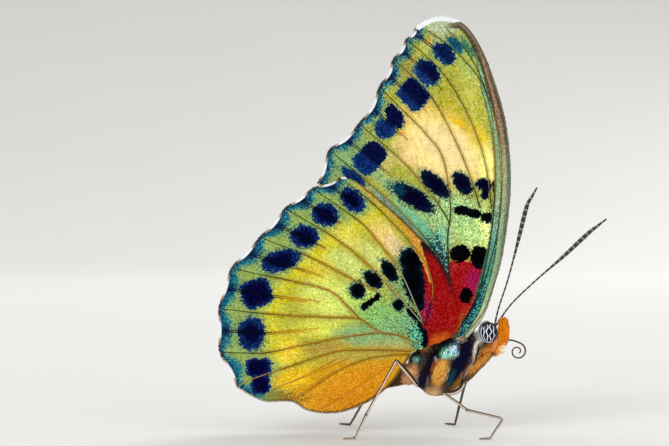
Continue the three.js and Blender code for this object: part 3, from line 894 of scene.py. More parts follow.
FOREWING_DISCAL = [
    ((-0.2, 32.4), (3.4, 1.25), -33, False), ((2.8, 34.2), (2.5, 1.15), -42, False),
    ((6.55, 34.35), (1.75, 1.05), -52, False), ((9.4, 34.2), (1.1, 0.8), 0, False),
    ((9.7, 33.1), (0.55, 1.1), -8, False), ((11.0, 34.0), (0.3, 0.9), 0, False),
    ((7.3, 30.4), (1.95, 0.66), -12, True), ((10.1, 29.6), (0.95, 0.75), 0, False),
]
FOREWING_BASAL = [
    ((6.2, 24.65), (1.45, 1.25), 12, False), ((8.95, 24.1), (1.35, 1.6), -6, False),
    ((7.0, 18.8), (0.85, 1.1), -20, False),
]
HINDWING_ZONES = [
    ("d6c858", (-14.2, 24.6), (4.2, 5.6), 45, 0.35),
    ("e0d474", (-9.4, 27.2), (3.4, 1.8), -42, 0.35),
    ("e8cf7c", (-4.2, 27.2), (4.4, 1.7), -48, 0.4),
    ("dcc796", (-2.6, 25.6), (2.6, 1.3), -52, 0.4),
    ("c8d67c", (-9.4, 23.4), (3.8, 1.6), -34, 0.4),
    ("ccd07c", (-5.4, 24.2), (3.4, 1.5), -46, 0.4),
    ("d8e27a", (-11.6, 18.6), (5.2, 3.4), -15, 0.4),
    ("d8da66", (-13.0, 14.4), (4.6, 1.6), 3, 0.4),
    ("c0d470", (-7.4, 18.6), (3.4, 3.8), -25, 0.4),
    ("86b468", (-4.4, 15.8), (4.8, 3.4), -28, 0.4),
    ("829c60", (-2.2, 19.4), (1.7, 3.6), 12, 0.4),
    ("7ba672", (-2.2, 14.4), (2.8, 2.0), -30, 0.4),
    ("76a070", (-0.9, 14.8), (1.7, 3.6), -8, 0.4),
    ("8aa870", (-1.4, 12.4), (3.0, 1.3), 10, 0.4),
    ("8cb078", (-6.0, 13.2), (6.0, 1.9), -8, 0.5),
    ("b49a4c", (-12.6, 11.8), (4.4, 0.9), 10, 0.4),
]
HINDWING_FOOT = [
    ("cf981c", (-9.0, 5.9), (12.8, 5.5), 20, 0.62),
    ("d68c12", (-8.6, 5.4), (8.0, 3.8), 22, 0.2),
    ("e4ba1c", (-16.8, 7.6), (4.0, 1.9), 18, 0.3),
    ("b8a444", (-7.2, 10.7), (6.0, 0.9), 5, 0.4),
    ("e8cc34", (-17.2, 11.4), (2.4, 2.6), 0, 0.2),
]
HINDWING_SUBMARGIN = [
    ((-8.6, 32.1), (2.05, 1.35), -45, False), ((-12.3, 30.1), (1.9, 1.65), -20, False),
    ((-15.2, 27.1), (2.0, 1.6), 0, False), ((-18.4, 23.8), (2.8, 1.5), 17, False),
    ((-21.8, 19.3), (2.1, 1.95), 20, True), ((-22.5, 13.75), (1.9, 2.3), 0, False),
    ((-21.5, 9.1), (1.75, 1.3), 0, True), ((-21.2, 6.7), (1.3, 1.25), 0, True),
]
HINDWING_DISCAL = [
    ((-7.8, 19.6), (1.05, 1.1), 0, False), ((-5.7, 21.1), (1.45, 0.95), -38, False),
    ((-3.5, 22.3), (1.7, 0.85), -58, False),
    ((-0.45, 23.7), (1.7, 1.65), -25, False), ((-0.15, 21.0), (1.5, 3.2), 10, False),
    ((0.5, 18.6), (0.85, 1.9), 8, False), ((-6.0, 18.1), (1.6, 0.42), 38, True),
    ((-2.2, 17.6), (0.8, 0.82), 0, False), ((-0.3, 16.5), (1.3, 0.5), -50, False),
    ((0.75, 14.2), (0.42, 1.9), 0, False), ((1.4, 13.1), (0.5, 1.4), 0, False),
]
HINDWING_GOLD = [((0.3, 25.6), (0.46, 3.0), 25, False), ((1.45, 22.9), (0.22, 2.4), 19, False)]
FOREWING_RED = [
    ((7.2, 21.0), (2.7, 5.2), -24, False), ((5.6, 17.2), (1.9, 3.8), 0, False),
    ((9.0, 22.2), (1.5, 1.8), -30, False), ((5.7, 21.2), (1.3, 3.4), 0, False),
]
HINDWING_RED = [
    ((3.5, 18.0), (2.5, 5.0), 6, False), ((2.3, 22.2), (1.5, 4.2), 22, False),
    ((3.6, 21.6), (1.6, 2.6), 22, False),
    ((3.0, 14.2), (2.4, 2.2), 20, False), ((1.7, 16.6), (1.1, 3.0), 0, False),
]


class WingPaint:
    """The markings of a wing's underside, worked out from its plan."""

    def __init__(self, finish):
        self.finish = finish
        self.tone, self.vein, self.fold = finish.value("tone"), finish.value("vein"), finish.value("fold")
        self.rim, self.lead, self.hem = finish.value("rim"), finish.value("lead"), finish.value("hem")
        flat = finish.vector("plan")
        stir = finish.vectors("SUBTRACT", finish.noise(flat, 1.7, 3.0, "Color"), (0.5, 0.5, 0.5))
        self.plan = finish.vectors("ADD", flat, finish.vectors("MULTIPLY", stir, (0.8, 0.8, 0)))
        self.grain = finish.noise(flat, 4.0, 3.0)
        self.speck = finish.noise(flat, 6.5, 1.0)
        self.cloud = finish.noise(flat, 0.45, 3.0)
        ray = finish.vector("ray")
        self.streak = finish.noise(finish.vectors("MULTIPLY", ray, (3.2, 0.45, 0)), 1.0, 2.0)
        self.ripple = finish.noise(finish.vectors("MULTIPLY", ray, (0.45, 2.6, 0)), 1.0, 1.0)
        self.ahead, self.height = finish.part(self.plan, 0), finish.part(self.plan, 1)
        self.jitter = self.tone - 0.5
        self.ragged = self.jitter * 0.2 + (self.grain - 0.5) * 0.35

    def patch(self, centre, size, turn=0.0, boxy=False):
        return self.finish.patch(self.plan, centre, size, turn, boxy)

    def zones(self, ground, zones):
        """Soft patches of colour, each over the ones before."""
        for colour, centre, size, turn, inner in zones:
            far = self.patch(centre, size, turn) + self.ragged * 0.7
            ground = self.finish.mix(far.fade(1.15, inner), ground, colour)
        return ground

    def nearest(self, patches):
        """The least distance to any patch of a set."""
        found = self.patch(*patches[0])
        for patch in patches[1:]:
            found = found.least(self.patch(*patch))
        return found

    def dust(self, ground, patches, colour, spread=0.4):
        """Loose scales strewn round each spot."""
        strewn = (self.nearest(patches) + self.jitter * spread + self.ragged * 0.5).fade(1.3, 1.02)
        return self.finish.mix(strewn * 0.75, ground, colour)

    def spots(self, ground, patches, core, rim_colour, rough=1.0):
        """Dark spots with a bluer rim and a ragged edge."""
        far = self.nearest(patches)
        near = (far + self.ragged * 0.8 + self.jitter * 0.15).fade(0.98, 0.45)
        spot = self.finish.mix(near, rim_colour, core)
        return self.finish.mix((far + self.ragged * rough).fade(1.04, 0.98), ground, spot)

    def trail(self, ground, patches, shift, colour, amount=0.85):
        """A veil of loose blue scales that trails off one side of each spot."""
        moved = [((x + shift[0], z + shift[1]), *others) for (x, z), *others in patches]
        veil = (self.nearest(moved) + self.jitter * 0.7).fade(1.08, 0.9)
        return self.finish.mix(veil * amount, ground, colour)

    def red(self, ground, patches, red, magenta, orange, magenta_at, orange_at, top):
        """The red base of the wing, rosy in one patch and warmer in another, up to a height."""
        far = self.nearest(patches) + self.ragged * 0.25
        rose = (self.patch(*magenta_at) + self.ragged * 0.5).fade(1.0, 0.2)
        warm = (self.patch(*orange_at) + self.ragged * 0.5).fade(1.0, 0.2)
        colour = self.finish.mix(warm, self.finish.mix(rose, red, magenta), orange)
        below = (self.height + self.ragged).fade(top, top - 0.5)
        return self.finish.mix(far.fade(1.03, 0.95) * below, ground, colour)

    def margin(self, ground, width):
        """Teal and blue blotches inside the fringe, deepest midway between the veins."""
        off_vein = self.vein.fade(0.1, 1.6)
        far = (self.rim + self.jitter * 0.9 + (self.grain - 0.5) * 1.1) / (off_vein * 0.55 + 0.55)
        ground = self.finish.mix(far.fade(width * 2.4, width * 0.9) * 0.5, ground, "82984f")
        ground = self.finish.mix(far.fade(width * 1.25, width * 0.75), ground, "2c827e")
        ground = self.finish.mix(far.fade(width * 0.9, width * 0.3), ground, "105c7c")
        middle = self.fold.math("ABSOLUTE") + self.ragged
        deep = middle.fade(1.3, 0.3) * far.fade(width * 1.05, width * 0.6)
        ground = self.finish.mix(deep * 0.85, ground, "0b2450")
        return self.finish.mix(far.fade(0.35, 0.1) * 0.8, ground, "0e1a2a")

    def ground_tones(self, colour, hues=1.0):
        """Greener and yellower scales lie side by side, and the colour clouds a little."""
        green = (self.tone + (self.grain - 0.5) * 0.5).fade(0.86, 0.9)
        colour = self.finish.mix(green * 0.35, colour, "5aa67e")
        hue = (self.grain - 0.5) * 0.03 - (self.jitter * 0.05 + (self.speck - 0.5) * 0.08) * hues
        hue = hue + (self.cloud - 0.5) * 0.03 + 0.497
        return self.finish.shift(colour, hue, 1.07)

    def veins(self, colour, shade, amount):
        """The ground darkens beside the veins."""
        near = (self.vein + self.ragged * 0.3).fade(0.42, 0.1) * self.rim.fade(2.5, 6.0)
        return self.finish.mix(near * amount, colour, shade)

    def depth(self, colour, usual, calm_patches, busy_patch):
        """No two scales are equally bright, least of all in the busy patch, and bright ones are paler."""
        calm = self.nearest(calm_patches).fade(1.2, 0.8)
        busy = self.patch(*busy_patch).fade(1.2, 0.8)
        amount = calm * (CALM_GRAIN - usual) + busy * 0.5 + usual
        uneven = (self.jitter * 0.6 + (self.speck - 0.5) * 2.2) * amount
        value = uneven + (self.grain - 0.5) * 0.3 + (self.cloud - 0.5) * 0.3 + 1.05
        value = value + (self.streak - 0.5) * 0.65 + (self.ripple - 0.5) * 0.35
        value = value.most(0.58 - busy * 0.3)
        return self.finish.shift(colour, saturation=1.0 - uneven * 0.28, value=value)


def wing_finish(kind):
    """The underside of a wing, the same on its membrane and its scales."""
    finish = Finish(f"{kind}_underside", **{"Specular IOR Level": 0.01, "Roughness": 0.5})
    paint = WingPaint(finish)
    finish.paint(paint.depth(MARKINGS[kind](paint), GRAIN[kind], CALM_PATCHES[kind], BUSY_PATCH[kind]))
    finish.paint(paint.tone * 0.25 + 0.4, "Roughness")
    finish.bump(finish.noise(finish.place(), 9.0, 1.0), 0.35, 0.04)
    return finish.material


def forewing_markings(paint):
    colour = forewing_ground(paint)
    colour = forewing_outer_spots(paint, colour)
    colour = forewing_inner_spots(paint, colour)
    return forewing_costa(paint, colour)


def forewing_ground(paint):
    """Yellow and green zones with a cream patch of painted sheen, darker beside the veins and greener
    towards the margin.
    """
    mix, height = paint.finish.mix, paint.height
    colour = paint.zones("a9ab48", FOREWING_ZONES)
    stripe = (paint.patch((-1.5, 28.9), (0.5, 8.0), 42) + paint.ragged * 0.4).fade(1.1, 0.7)
    colour = mix(stripe, colour, "8aa391")
    colour = paint.veins(paint.ground_tones(colour), "7d7a2a", 0.45)
    far = paint.rim + paint.ragged
    colour = mix(far.fade(4.4, 2.4) * height.fade(48.0, 38.0) * 0.5, colour, "7c9a5e")
    colour = mix(far.fade(1.9, 0.6) * height.fade(48.0, 52.0) * 0.7, colour, "346a5c")
    return paint.margin(colour, height.fade(36.0, 42.0) * 0.2 + 1.0)


def forewing_outer_spots(paint, colour):
    """The row of navy spots inside the margin, and the blue and teal streaks at the tip."""
    mix, height = paint.finish.mix, paint.height
    colour = paint.dust(colour, FOREWING_APICAL, "6f9a58")
    colour = paint.spots(colour, FOREWING_APICAL, "0a4468", "1e6470")
    colour = paint.dust(colour, FOREWING_TIP_STREAK, "5c8c5c", 0.5)
    streak = (paint.nearest(FOREWING_TIP_STREAK) + paint.jitter * 0.6).fade(1.1, 0.7)
    colour = mix(streak * 0.85, colour, "286e5c")
    colour = paint.dust(colour, FOREWING_SUBMARGIN, "4f8460")
    colour = paint.spots(colour, FOREWING_SUBMARGIN, "04225e", "083a6e")
    past_fold = (paint.fold + paint.ragged * 0.4).fade(-0.25, 0.25)
    deep = (paint.nearest(FOREWING_SUBMARGIN) + paint.ragged).fade(1.0, 0.92)
    return mix(deep * past_fold * (height.fade(54.0, 49.0) * 0.42 + 0.5), colour, "02042e")


def forewing_inner_spots(paint, colour):
    """The black spots across the cell, the red base with its spots, and the blue scales round them."""
    mix = paint.finish.mix
    colour = paint.trail(colour, FOREWING_DISCAL[:1], (-0.8, 0.4), "3a8a80", 0.6)
    colour = paint.dust(colour, FOREWING_DISCAL, "3c7a68")
    colour = paint.spots(colour, FOREWING_DISCAL[:-2], "020220", "06162e")
    colour = paint.spots(colour, FOREWING_DISCAL[-2:], "04060c", "060c10")
    blue = (paint.patch((-2.4, 33.6), (1.3, 0.8), -24) + paint.jitter * 0.9).fade(1.1, 0.5)
    colour = mix(blue * 0.8, colour, "0e4560")
    colour = paint.red(
        colour, FOREWING_RED, "9c1013", "94134a", "a83a0a",
        ((8.0, 21.1), (1.5, 2.4), -10), ((6.0, 14.8), (1.8, 3.2), -30), 23.9,
    )
    colour = paint.spots(colour, FOREWING_BASAL, "030204", "060408", 0.5)
    loose = (paint.patch((3.75, 24.0), (1.0, 3.3), 22) + paint.jitter * 0.8).fade(1.15, 1.0)
    flecks = mix(paint.speck.fade(0.56, 0.62), "0a1622", "6cb4ac")
    flecks = mix(paint.tone.fade(0.16, 0.12), flecks, "2a8a84")
    return mix(loose * paint.ahead.fade(4.9, 4.5) * 0.95, colour, flecks)


def forewing_costa(paint, colour):
    """The stripe along the leading edge: an outer band with a painted highlight on its ridge and painted
    shade at its rim, a dark line, an inner band.
    """
    mix, height = paint.finish.mix, paint.height
    width = 2.2 - height.fade(46.0, 54.5) * 1.2 - height.fade(22.0, 14.0) * 0.15
    width = width - height.fade(15.8, 13.4) * 0.8
    across = (paint.lead + paint.ragged * 0.3) / width
    edge = mix(height.fade(32.0, 46.0), "6e866c", "5a4c3e")
    edge = mix(height.fade(28.0, 20.0), edge, "94b48c")
    edge = mix(height.fade(20.0, 16.0), edge, "c8dcae")
    # The ridge's paler colours are a painted highlight: the light that the raised costa catches.
    ridge = mix(height.fade(26.0, 34.0), "8eb084", "a8a87e")
    ridge = mix(height.fade(36.0, 41.0), ridge, "9a7c62")
    ridge = mix(height.fade(49.0, 54.0), ridge, "80725c")
    band = mix(across.fade(0.2, 0.38) * across.fade(0.58, 0.5), edge, ridge)
    inner = mix(height.fade(19.5, 26.5), "0c2c4c", "7aa68c")
    inner = mix(height.fade(27.0, 34.0), inner, "98ac7a")
    loose = paint.tone + height.fade(17.0, 26.0) * 0.3 + across.fade(0.74, 0.44) * 0.4
    inner = mix(loose.fade(0.72, 0.78) * height.fade(28.5, 25.0), inner, "4aa08c")
    inner = mix(height.fade(36.0, 40.0), inner, "8cb080")
    inner = mix(height.fade(49.0, 54.0), inner, "787050")
    starts = 0.56 - height.fade(29.0, 20.0) * 0.14 + height.fade(38.0, 44.0) * 0.1
    past = across - (starts + height.fade(50.0, 54.0) * 0.22)
    band = mix(past.fade(0.0, 0.04), band, inner)
    line = past.fade(-0.06, 0.0) * past.fade(0.08, 0.03)
    band = mix(line * (0.85 - height.fade(26.0, 34.0) * 0.4), band, "182c22")
    # Painted shade: the band darkens towards the wing's very edge.
    band = mix(across.fade(0.26, 0.0) * 0.65, band, "2c2a22")
    rule = across.fade(0.9, 0.96) * across.fade(1.08, 1.02)
    band = mix(rule * 0.7, band, "31502e")
    return mix(across.fade(1.08, 1.0) * paint.ahead.fade(4.0, 5.6), colour, band)


def hindwing_markings(paint):
    colour = hindwing_ground(paint)
    colour = hindwing_edges(paint, colour)
    return hindwing_spots(paint, colour)


def hindwing_ground(paint):
    """Yellow and green zones, an orange foot, golden folds and darker veins."""
    mix = paint.finish.mix
    colour = paint.zones("b4b34a", HINDWING_ZONES)
    far = paint.rim + paint.ragged
    colour = mix(far.fade(9.6, 6.4) * 0.7, colour, "d8d044")
    colour = mix(far.fade(7.2, 4.6) * 0.85, colour, "86a262")
    off_fold = paint.fold.math("ABSOLUTE")
    glow = (off_fold + paint.ragged * 0.5).fade(1.3, 0.2) * paint.rim.fade(3.0, 5.0)
    colour = mix(glow * paint.rim.fade(16.0, 11.0) * 0.28, colour, "dcc028")
    colour = paint.veins(paint.ground_tones(colour, 0.5), "a8881c", 0.3)
    colour = paint.veins(paint.zones(colour, HINDWING_FOOT), "8a5a10", 0.35)
    line = (off_fold + paint.ragged * 0.2).fade(0.42, 0.14) * paint.rim.fade(13.0, 8.0)
    return mix(line * 0.4, colour, "b4841c")


def hindwing_edges(paint, colour):
    """The brown hem, the golden leading edge, the sooty corner and the margin."""
    mix, height = paint.finish.mix, paint.height
    colour = mix((paint.hem + paint.ragged * 0.2).fade(0.35, 0.15) * 0.8, colour, "4a3014")
    width = height.fade(35.0, 26.0) * 0.5 + 0.6
    band = (hindwing_lead(paint) / width).fade(1.15, 0.8) * height.fade(18.0, 22.0)
    golden = mix(height.fade(27.0, 31.0), "cf962a", "b9a23e")
    colour = mix(band * (paint.rim + paint.ragged).fade(1.4, 2.4), colour, golden)
    sooty = (paint.patch((-19.4, 5.3), (3.6, 0.9), -6) + paint.jitter * 1.2).fade(1.1, 0.9)
    return paint.margin(mix(sooty * 0.6, colour, "5c5a2c"), 1.55)


def hindwing_lead(paint):
    """How far from the leading edge, with a ragged edge to what follows it."""
    return paint.lead + paint.ragged * 0.15


def hindwing_spots(paint, colour):
    """Both rows of spots, the red base with its dusky end, the gold streaks and a dark rim, partly painted
    shadow, along the leading edge.
    """
    mix, height = paint.finish.mix, paint.height
    colour = paint.dust(colour, HINDWING_SUBMARGIN, "4c8060")
    colour = paint.spots(colour, HINDWING_SUBMARGIN, "020330", "092c66")
    deep = (paint.nearest(HINDWING_SUBMARGIN) + paint.ragged).fade(1.0, 0.92)
    colour = mix(deep * paint.fold.math("ABSOLUTE").fade(0.55, 0.2) * 0.8, colour, "010212")
    colour = paint.trail(colour, HINDWING_DISCAL[:4], (-0.3, 0.25), "0f5464")
    colour = paint.dust(colour, HINDWING_DISCAL, "2f6e5c")
    colour = paint.red(
        colour, HINDWING_RED, "900a0a", "86103c", "b8500c",
        ((1.7, 17.0), (1.2, 2.4), 0), ((3.4, 12.9), (2.2, 1.3), 25), 27.4,
    )
    dusk = paint.nearest(HINDWING_RED).fade(1.03, 0.95) * (height + paint.ragged).fade(23.8, 25.4)
    colour = mix(dusk, colour, "2c100c")
    colour = paint.spots(colour, HINDWING_DISCAL, "010205", "051222", 0.6)
    loose = (paint.patch((0.2, 13.4), (0.9, 1.9), 12) + paint.jitter * 0.9).fade(1.1, 0.9)
    flecks = mix(paint.tone.fade(0.34, 0.3), "5ab898", "0a1414")
    colour = mix(loose * paint.ahead.fade(1.5, 1.1) * 0.9, colour, flecks)
    gold = (paint.nearest(HINDWING_GOLD) + paint.ragged * 0.3).fade(1.05, 0.9)
    colour = mix(gold, colour, "cc943a")
    # A dark rim along the leading edge: partly the edge's own dark scales, partly painted shadow where the
    # wings meet.
    off_middle = (height - 24.0).math("ABSOLUTE") * 0.03
    edge = (hindwing_lead(paint) + off_middle).fade(0.75, 0.3) * height.fade(17.0, 22.0)
    return mix(edge * 0.85, colour, "101820")


def upper_finish():
    """The wings' upper sides, which face each other: blue-green over black."""
    finish = Finish("wing_upper_side", Roughness=0.4)
    grain = finish.noise(finish.place(), 6.0, 3.0)
    sheen = finish.mix(grain.fade(0.35, 0.7), "0a1418", "12484a")
    finish.paint(finish.mix(finish.value("rim").fade(3.0, 0.5), sheen, "06090c"))
    finish.paint(grain * 0.3 + 0.3, "Roughness")
    finish.bump(grain, 0.4, 0.04)
    return finish.material


def vein_finish(name, base, inner, outer, turns_at):
    """Veins and creases change colour from the wing's base to its margin."""
    finish = Finish(name, **{"Specular IOR Level": 0.04, "Roughness": 0.5})
    place = finish.place()
    ahead, height = finish.part(place, 0), finish.part(place, 2)
    grain = finish.noise(place, 3.0, 2.0)
    near = finish.value("rim") + (grain - 0.5) * 2
    colour = finish.mix(grain.fade(0.3, 0.7) * 0.3, inner, "2c220c")
    colour = finish.mix(height.fade(42.5, 46.0), colour, "30280a")
    colour = finish.mix(near.fade(13.0, 17.0) * (height + grain * 2).fade(36.5, 33.5), colour, base)
    outer = finish.mix((height + grain).fade(10.5, 8.5), outer, "a87c34")
    colour = finish.mix(near.fade(*turns_at), colour, outer)
    washed = (ahead + grain).fade(-6.6, -3.4) * height.fade(13.6, 15.6) * height.fade(25.0, 22.0)
    colour = finish.mix(washed * ahead.fade(1.3, 0.7), colour, "94a076")
    root = (ahead + grain).fade(1.1, 1.7) * height.fade(19.6, 17.6)
    colour = finish.mix(root, colour, "260c12")
    finish.paint(finish.mix(finish.value("lead").fade(0.8, 0.55), colour, "807458"))
    finish.bump(grain, 0.3, 0.03)
    return finish.material


def fringe_finish():
    """White hairs in the scallops, dark ones at the vein ends and brown ones between."""
    finish = Finish("wing_fringe", Roughness=0.6)
    pale = finish.value("pale") + (finish.value("tone") - 0.5) * 0.2
    colour = finish.mix(pale.fade(0.12, 0.24), "16161c", "a8967c")
    finish.paint(finish.mix(pale.fade(0.42, 0.62), colour, "eef0f6"))
    finish.paint(finish.value("tone") * 0.3 + 0.45, "Roughness")
    return finish.material


# ---- Body -------------------------------------------------------------------------------------

# Bands of the fur: colour, middle, half sizes, turn in degrees, and how far in the fade runs.
BODY_ZONES = [
    ("e2ac7a", (-0.6, 8.1), (1.25, 2.3), -12, 0.6),
    ("c0c2c8", (0.3, 7.0), (0.5, 1.2), 4, 0.5),
    ("39423f", (0.9, 10.8), (1.6, 1.0), 10, 0.5),
    ("8fd4c0", (0.3, 10.45), (0.5, 0.42), 30, 0.5),
    ("120e18", (1.7, 8.8), (0.95, 3.1), -19, 0.65),
    ("0a1a42", (0.75, 7.4), (0.36, 1.7), -6, 0.5),
    ("7a666c", (1.75, 7.3), (0.22, 1.3), -8, 0.2),
    ("d8a04c", (3.5, 8.8), (1.08, 2.35), -15, 0.72),
    ("b09a74", (4.5, 8.6), (0.33, 1.4), -12, 0.3),
    ("8a4420", (2.5, 9.6), (0.26, 1.2), -15, 0.3),
    ("e2bc8c", (2.5, 5.9), (1.7, 1.15), 10, 0.3),
    ("060a2a", (6.3, 10.3), (1.08, 3.8), -26, 0.75),
    ("0a4a5c", (5.05, 8.0), (0.42, 1.8), -22, 0.4),
    ("b3762f", (5.9, 7.1), (0.55, 1.4), -28, 0.5),
    ("a87c6c", (6.45, 8.4), (0.28, 0.8), -28, 0.3),
    ("0a1018", (5.2, 13.1), (3.3, 1.0), 18, 0.5),
    ("04060e", (3.2, 11.4), (0.8, 0.9), 0, 0.7),
    ("dd9a6c", (1.7, 11.45), (0.95, 0.7), 30, 0.5),
    ("cdbce0", (2.9, 10.7), (0.22, 0.34), 20, 0.3),
    ("7fdcb8", (4.55, 11.4), (1.05, 1.05), 25, 0.72),
    ("a4dcf2", (5.35, 11.7), (0.75, 0.8), 25, 0.5),
    ("c9a890", (5.6, 12.75), (0.8, 0.22), -20, 0.3),
    ("ca8838", (8.9, 10.3), (0.85, 2.9), -45, 0.7),
    ("8d6e5c", (8.55, 10.9), (0.35, 1.4), -35, 0.4),
    ("d97f10", (11.8, 13.4), (1.6, 3.4), 0, 0.7),
    ("f0b070", (11.2, 12.6), (0.4, 1.4), -20, 0.3),
    ("7a3c12", (12.3, 16.0), (0.9, 0.5), 0, 0.4),
    ("191412", (9.3, 14.9), (1.0, 1.1), 0, 0.5),
    ("140c0c", (7.9, 10.0), (0.3, 3.0), -27, 0.7),
    ("ddd2cc", (7.55, 9.4), (0.2, 1.7), -28, 0.6),
    ("ddd2cc", (8.3, 11.8), (0.3, 1.4), -14, 0.6),
    ("c2cbc6", (8.8, 12.9), (0.7, 0.85), 20, 0.5),
    ("ffe0b4", (11.75, 11.35), (1.1, 0.4), 48, 0.6),
]


def swept(part, steps, y=0.0):
    """A closed tube along a part's smooth line, at one distance to the side."""
    line = smooth_line([(x, y, z) for x, z in part["line"]], steps)
    return tube(line, smooth_line(part["radii"], steps), 24)


def body_shapes():
    """The closed shapes that the skin of the body is wrapped round."""
    shapes = [swept(THORAX, 30), swept(ABDOMEN, 40), ball(HEAD["at"], HEAD["radii"])]
    for side in SIDES.values():
        shapes.append(swept(PALP, 24, PALP["offset"] * side))
        line = smooth_line([(x, y * side, z) for x, y, z in FORELEG["line"]], 20)
        shapes.append(tube(line, smooth_line(FORELEG["radii"], 20), 16))
        x, y, z = WING_BASE["at"]
        shapes.append(ball((x, y * side, z), WING_BASE["radii"]))
    return shapes


def skin_over(shapes, voxel, rounds):
    """One closed skin wrapped round several overlapping shapes, in millimetres."""
    points, faces = joined(shapes)
    source = new_mesh("skin_source", points / MM, faces)
    holder = bpy.data.objects.new("skin_source", source)
    bpy.context.scene.collection.objects.link(holder)
    remesh = holder.modifiers.new("wrap", "REMESH")
    remesh.mode = "VOXEL"
    remesh.voxel_size = voxel
    soften = holder.modifiers.new("soften", "SMOOTH")
    soften.factor, soften.iterations = 0.5, rounds
    bpy.context.view_layer.update()
    made = bpy.data.meshes.new_from_object(holder.evaluated_get(bpy.context.evaluated_depsgraph_get()))
    bpy.data.objects.remove(holder)
    points = np.empty(len(made.vertices) * 3)
    made.vertices.foreach_get("co", points)
    corners = np.empty(len(made.loops), int)
    made.loops.foreach_get("vertex_index", corners)
    sizes = np.empty(len(made.polygons), int)
    made.polygons.foreach_get("loop_total", sizes)
    starts = np.r_[0, np.cumsum(sizes)[:-1]]
    faces = [corners[starts[sizes == n][:, None] + np.arange(n)] for n in (3, 4) if (sizes == n).any()]
    bpy.data.meshes.remove(made)
    return points.reshape(-1, 3), faces


def triangles_of(faces):
    """All the faces as triangles."""
    found = []
    for face in faces:
        found += [face[:, [0, i, i + 1]] for i in range(1, face.shape[1] - 1)]
    return np.concatenate(found)


def scatter(points, faces, per_square_mm, rng):
    """Random places on a skin with their outward normals."""
    a, b, c = points[triangles_of(faces).T]
    normals = np.cross(b - a, c - a)
    areas = np.linalg.norm(normals, axis=1) / 2
    count = int(areas.sum() * per_square_mm)
    shares = (np.arange(count) + rng.uniform(0, 1, count)) / count
    chosen = np.minimum(np.searchsorted(np.cumsum(areas) / areas.sum(), shares), len(areas) - 1)
    u, v = rng.uniform(0, 1, (2, count, 1))
    u, v = np.where(u + v > 1, 1 - u, u), np.where(u + v > 1, 1 - v, v)
    places = a[chosen] + (b[chosen] - a[chosen]) * u + (c[chosen] - a[chosen]) * v
    return places, unit(normals[chosen])


# Longer tufts: middle, half sizes, which way they lie, and their length.
TUFTS = [
    ((1.8, 11.4), (1.0, 0.9), (-0.3, 0.7, 0.7), 1.15),
    ((6.4, 13.2), (1.6, 0.6), (0.3, 0.4, 0.9), 1.0),
    ((5.6, 12.6), (0.9, 0.3), (0.8, 0.4, 0.4), 0.9),
    ((8.7, 12.8), (0.7, 0.7), (0.6, 0.5, 0.6), 0.7),
    ((4.7, 10.5), (0.8, 0.25), (0.9, 0.5, 0.2), 0.7),
    ((11.7, 11.2), (1.1, 0.45), (0.7, 0.5, -0.7), 0.62),
    ((12.2, 15.4), (0.7, 0.6), (0.1, 0.0, 1.0), 0.5),
]


def fur_lie(places):
    """Which way the fur runs, how long it is and how far it stands off."""
    x, _, z = places.T
    lie = np.tile((-0.35, 0.0, -1.0), (len(places), 1))
    lie[x < -0.6] = (-1.0, 0.0, -0.25)
    lie[x > 8.6] = (-0.55, 0.0, -0.9)
    lie[x > 9.4] = (-0.2, 0.0, -1.0)
    lie[(x > 10.9) & (z > 11.0)] = (0.15, 0.0, 1.0)
    length = np.full(len(places), 0.8)
    length[x < -0.6] = 0.42
    length[x > 8.4] = 0.5
    length[(x > 9.2) & (z > 11.6)] = 0.3
    length[(x > 11.2) & (z > 11.2)] = 0.42
    stand = np.ones(len(places))
    for (cx, cz), (a, b), way, reach in TUFTS:
        near = ((x - cx) / a) ** 2 + ((z - cz) / b) ** 2 < 1
        lie[near] = way
        length[near] = reach
        stand[near] = 2.2
    return lie, length, stand


# How the locks stray, grow, stand off and sink into the skin.
FUR = {
    "off_eye": 0.02, "stray": 0.16, "lengths": (0.7, 1.2), "width": 0.024, "widens": 0.016,
    "lifts": (0.16, 0.34), "sunk": 0.03,
}


def body_plan(points):
    """Where each point lies as seen from the side, for the bands of the fur."""
    return np.column_stack([points[:, 0], points[:, 2], np.zeros(len(points))])


def body_fur(points, faces, density, scale, rng, side):
    """Locks of fur over one side of the skin, leaving the eyes clear."""
    places, normals = scatter(points, faces, density, rng)
    here = places[:, 1] * side > 0
    places, normals = places[here], normals[here]
    for eye_side in SIDES.values():
        off = (places - np.array(EYE["at"]) * (1, eye_side, 1)) / (np.array(EYE["radii"]) + FUR["off_eye"])
        clear = np.linalg.norm(off, axis=1) > 1.0
        places, normals = places[clear], normals[clear]
    count = len(places)
    lie, length, stand = fur_lie(places)
    lie = lie + rng.normal(0, FUR["stray"], (count, 3))
    lie = unit(lie - normals * np.sum(lie * normals, axis=1, keepdims=True))
    length = length * scale * rng.uniform(*FUR["lengths"], count)
    width = FUR["width"] + FUR["widens"] * length
    lift = length * stand * rng.uniform(*FUR["lifts"], count)
    made, blades = locks(places - normals * FUR["sunk"], normals, lie * length[:, None], width, lift)
    values = {
        "plan": body_plan(np.repeat(places, LOCK_POINTS, axis=0)),
        "tone": np.repeat(rng.uniform(0, 1, count), LOCK_POINTS),
        "tip": np.tile((0.0, 0.0, 0.0, 0.6, 0.6, 0.6, 1.0), count),
    }
    return made, blades, values


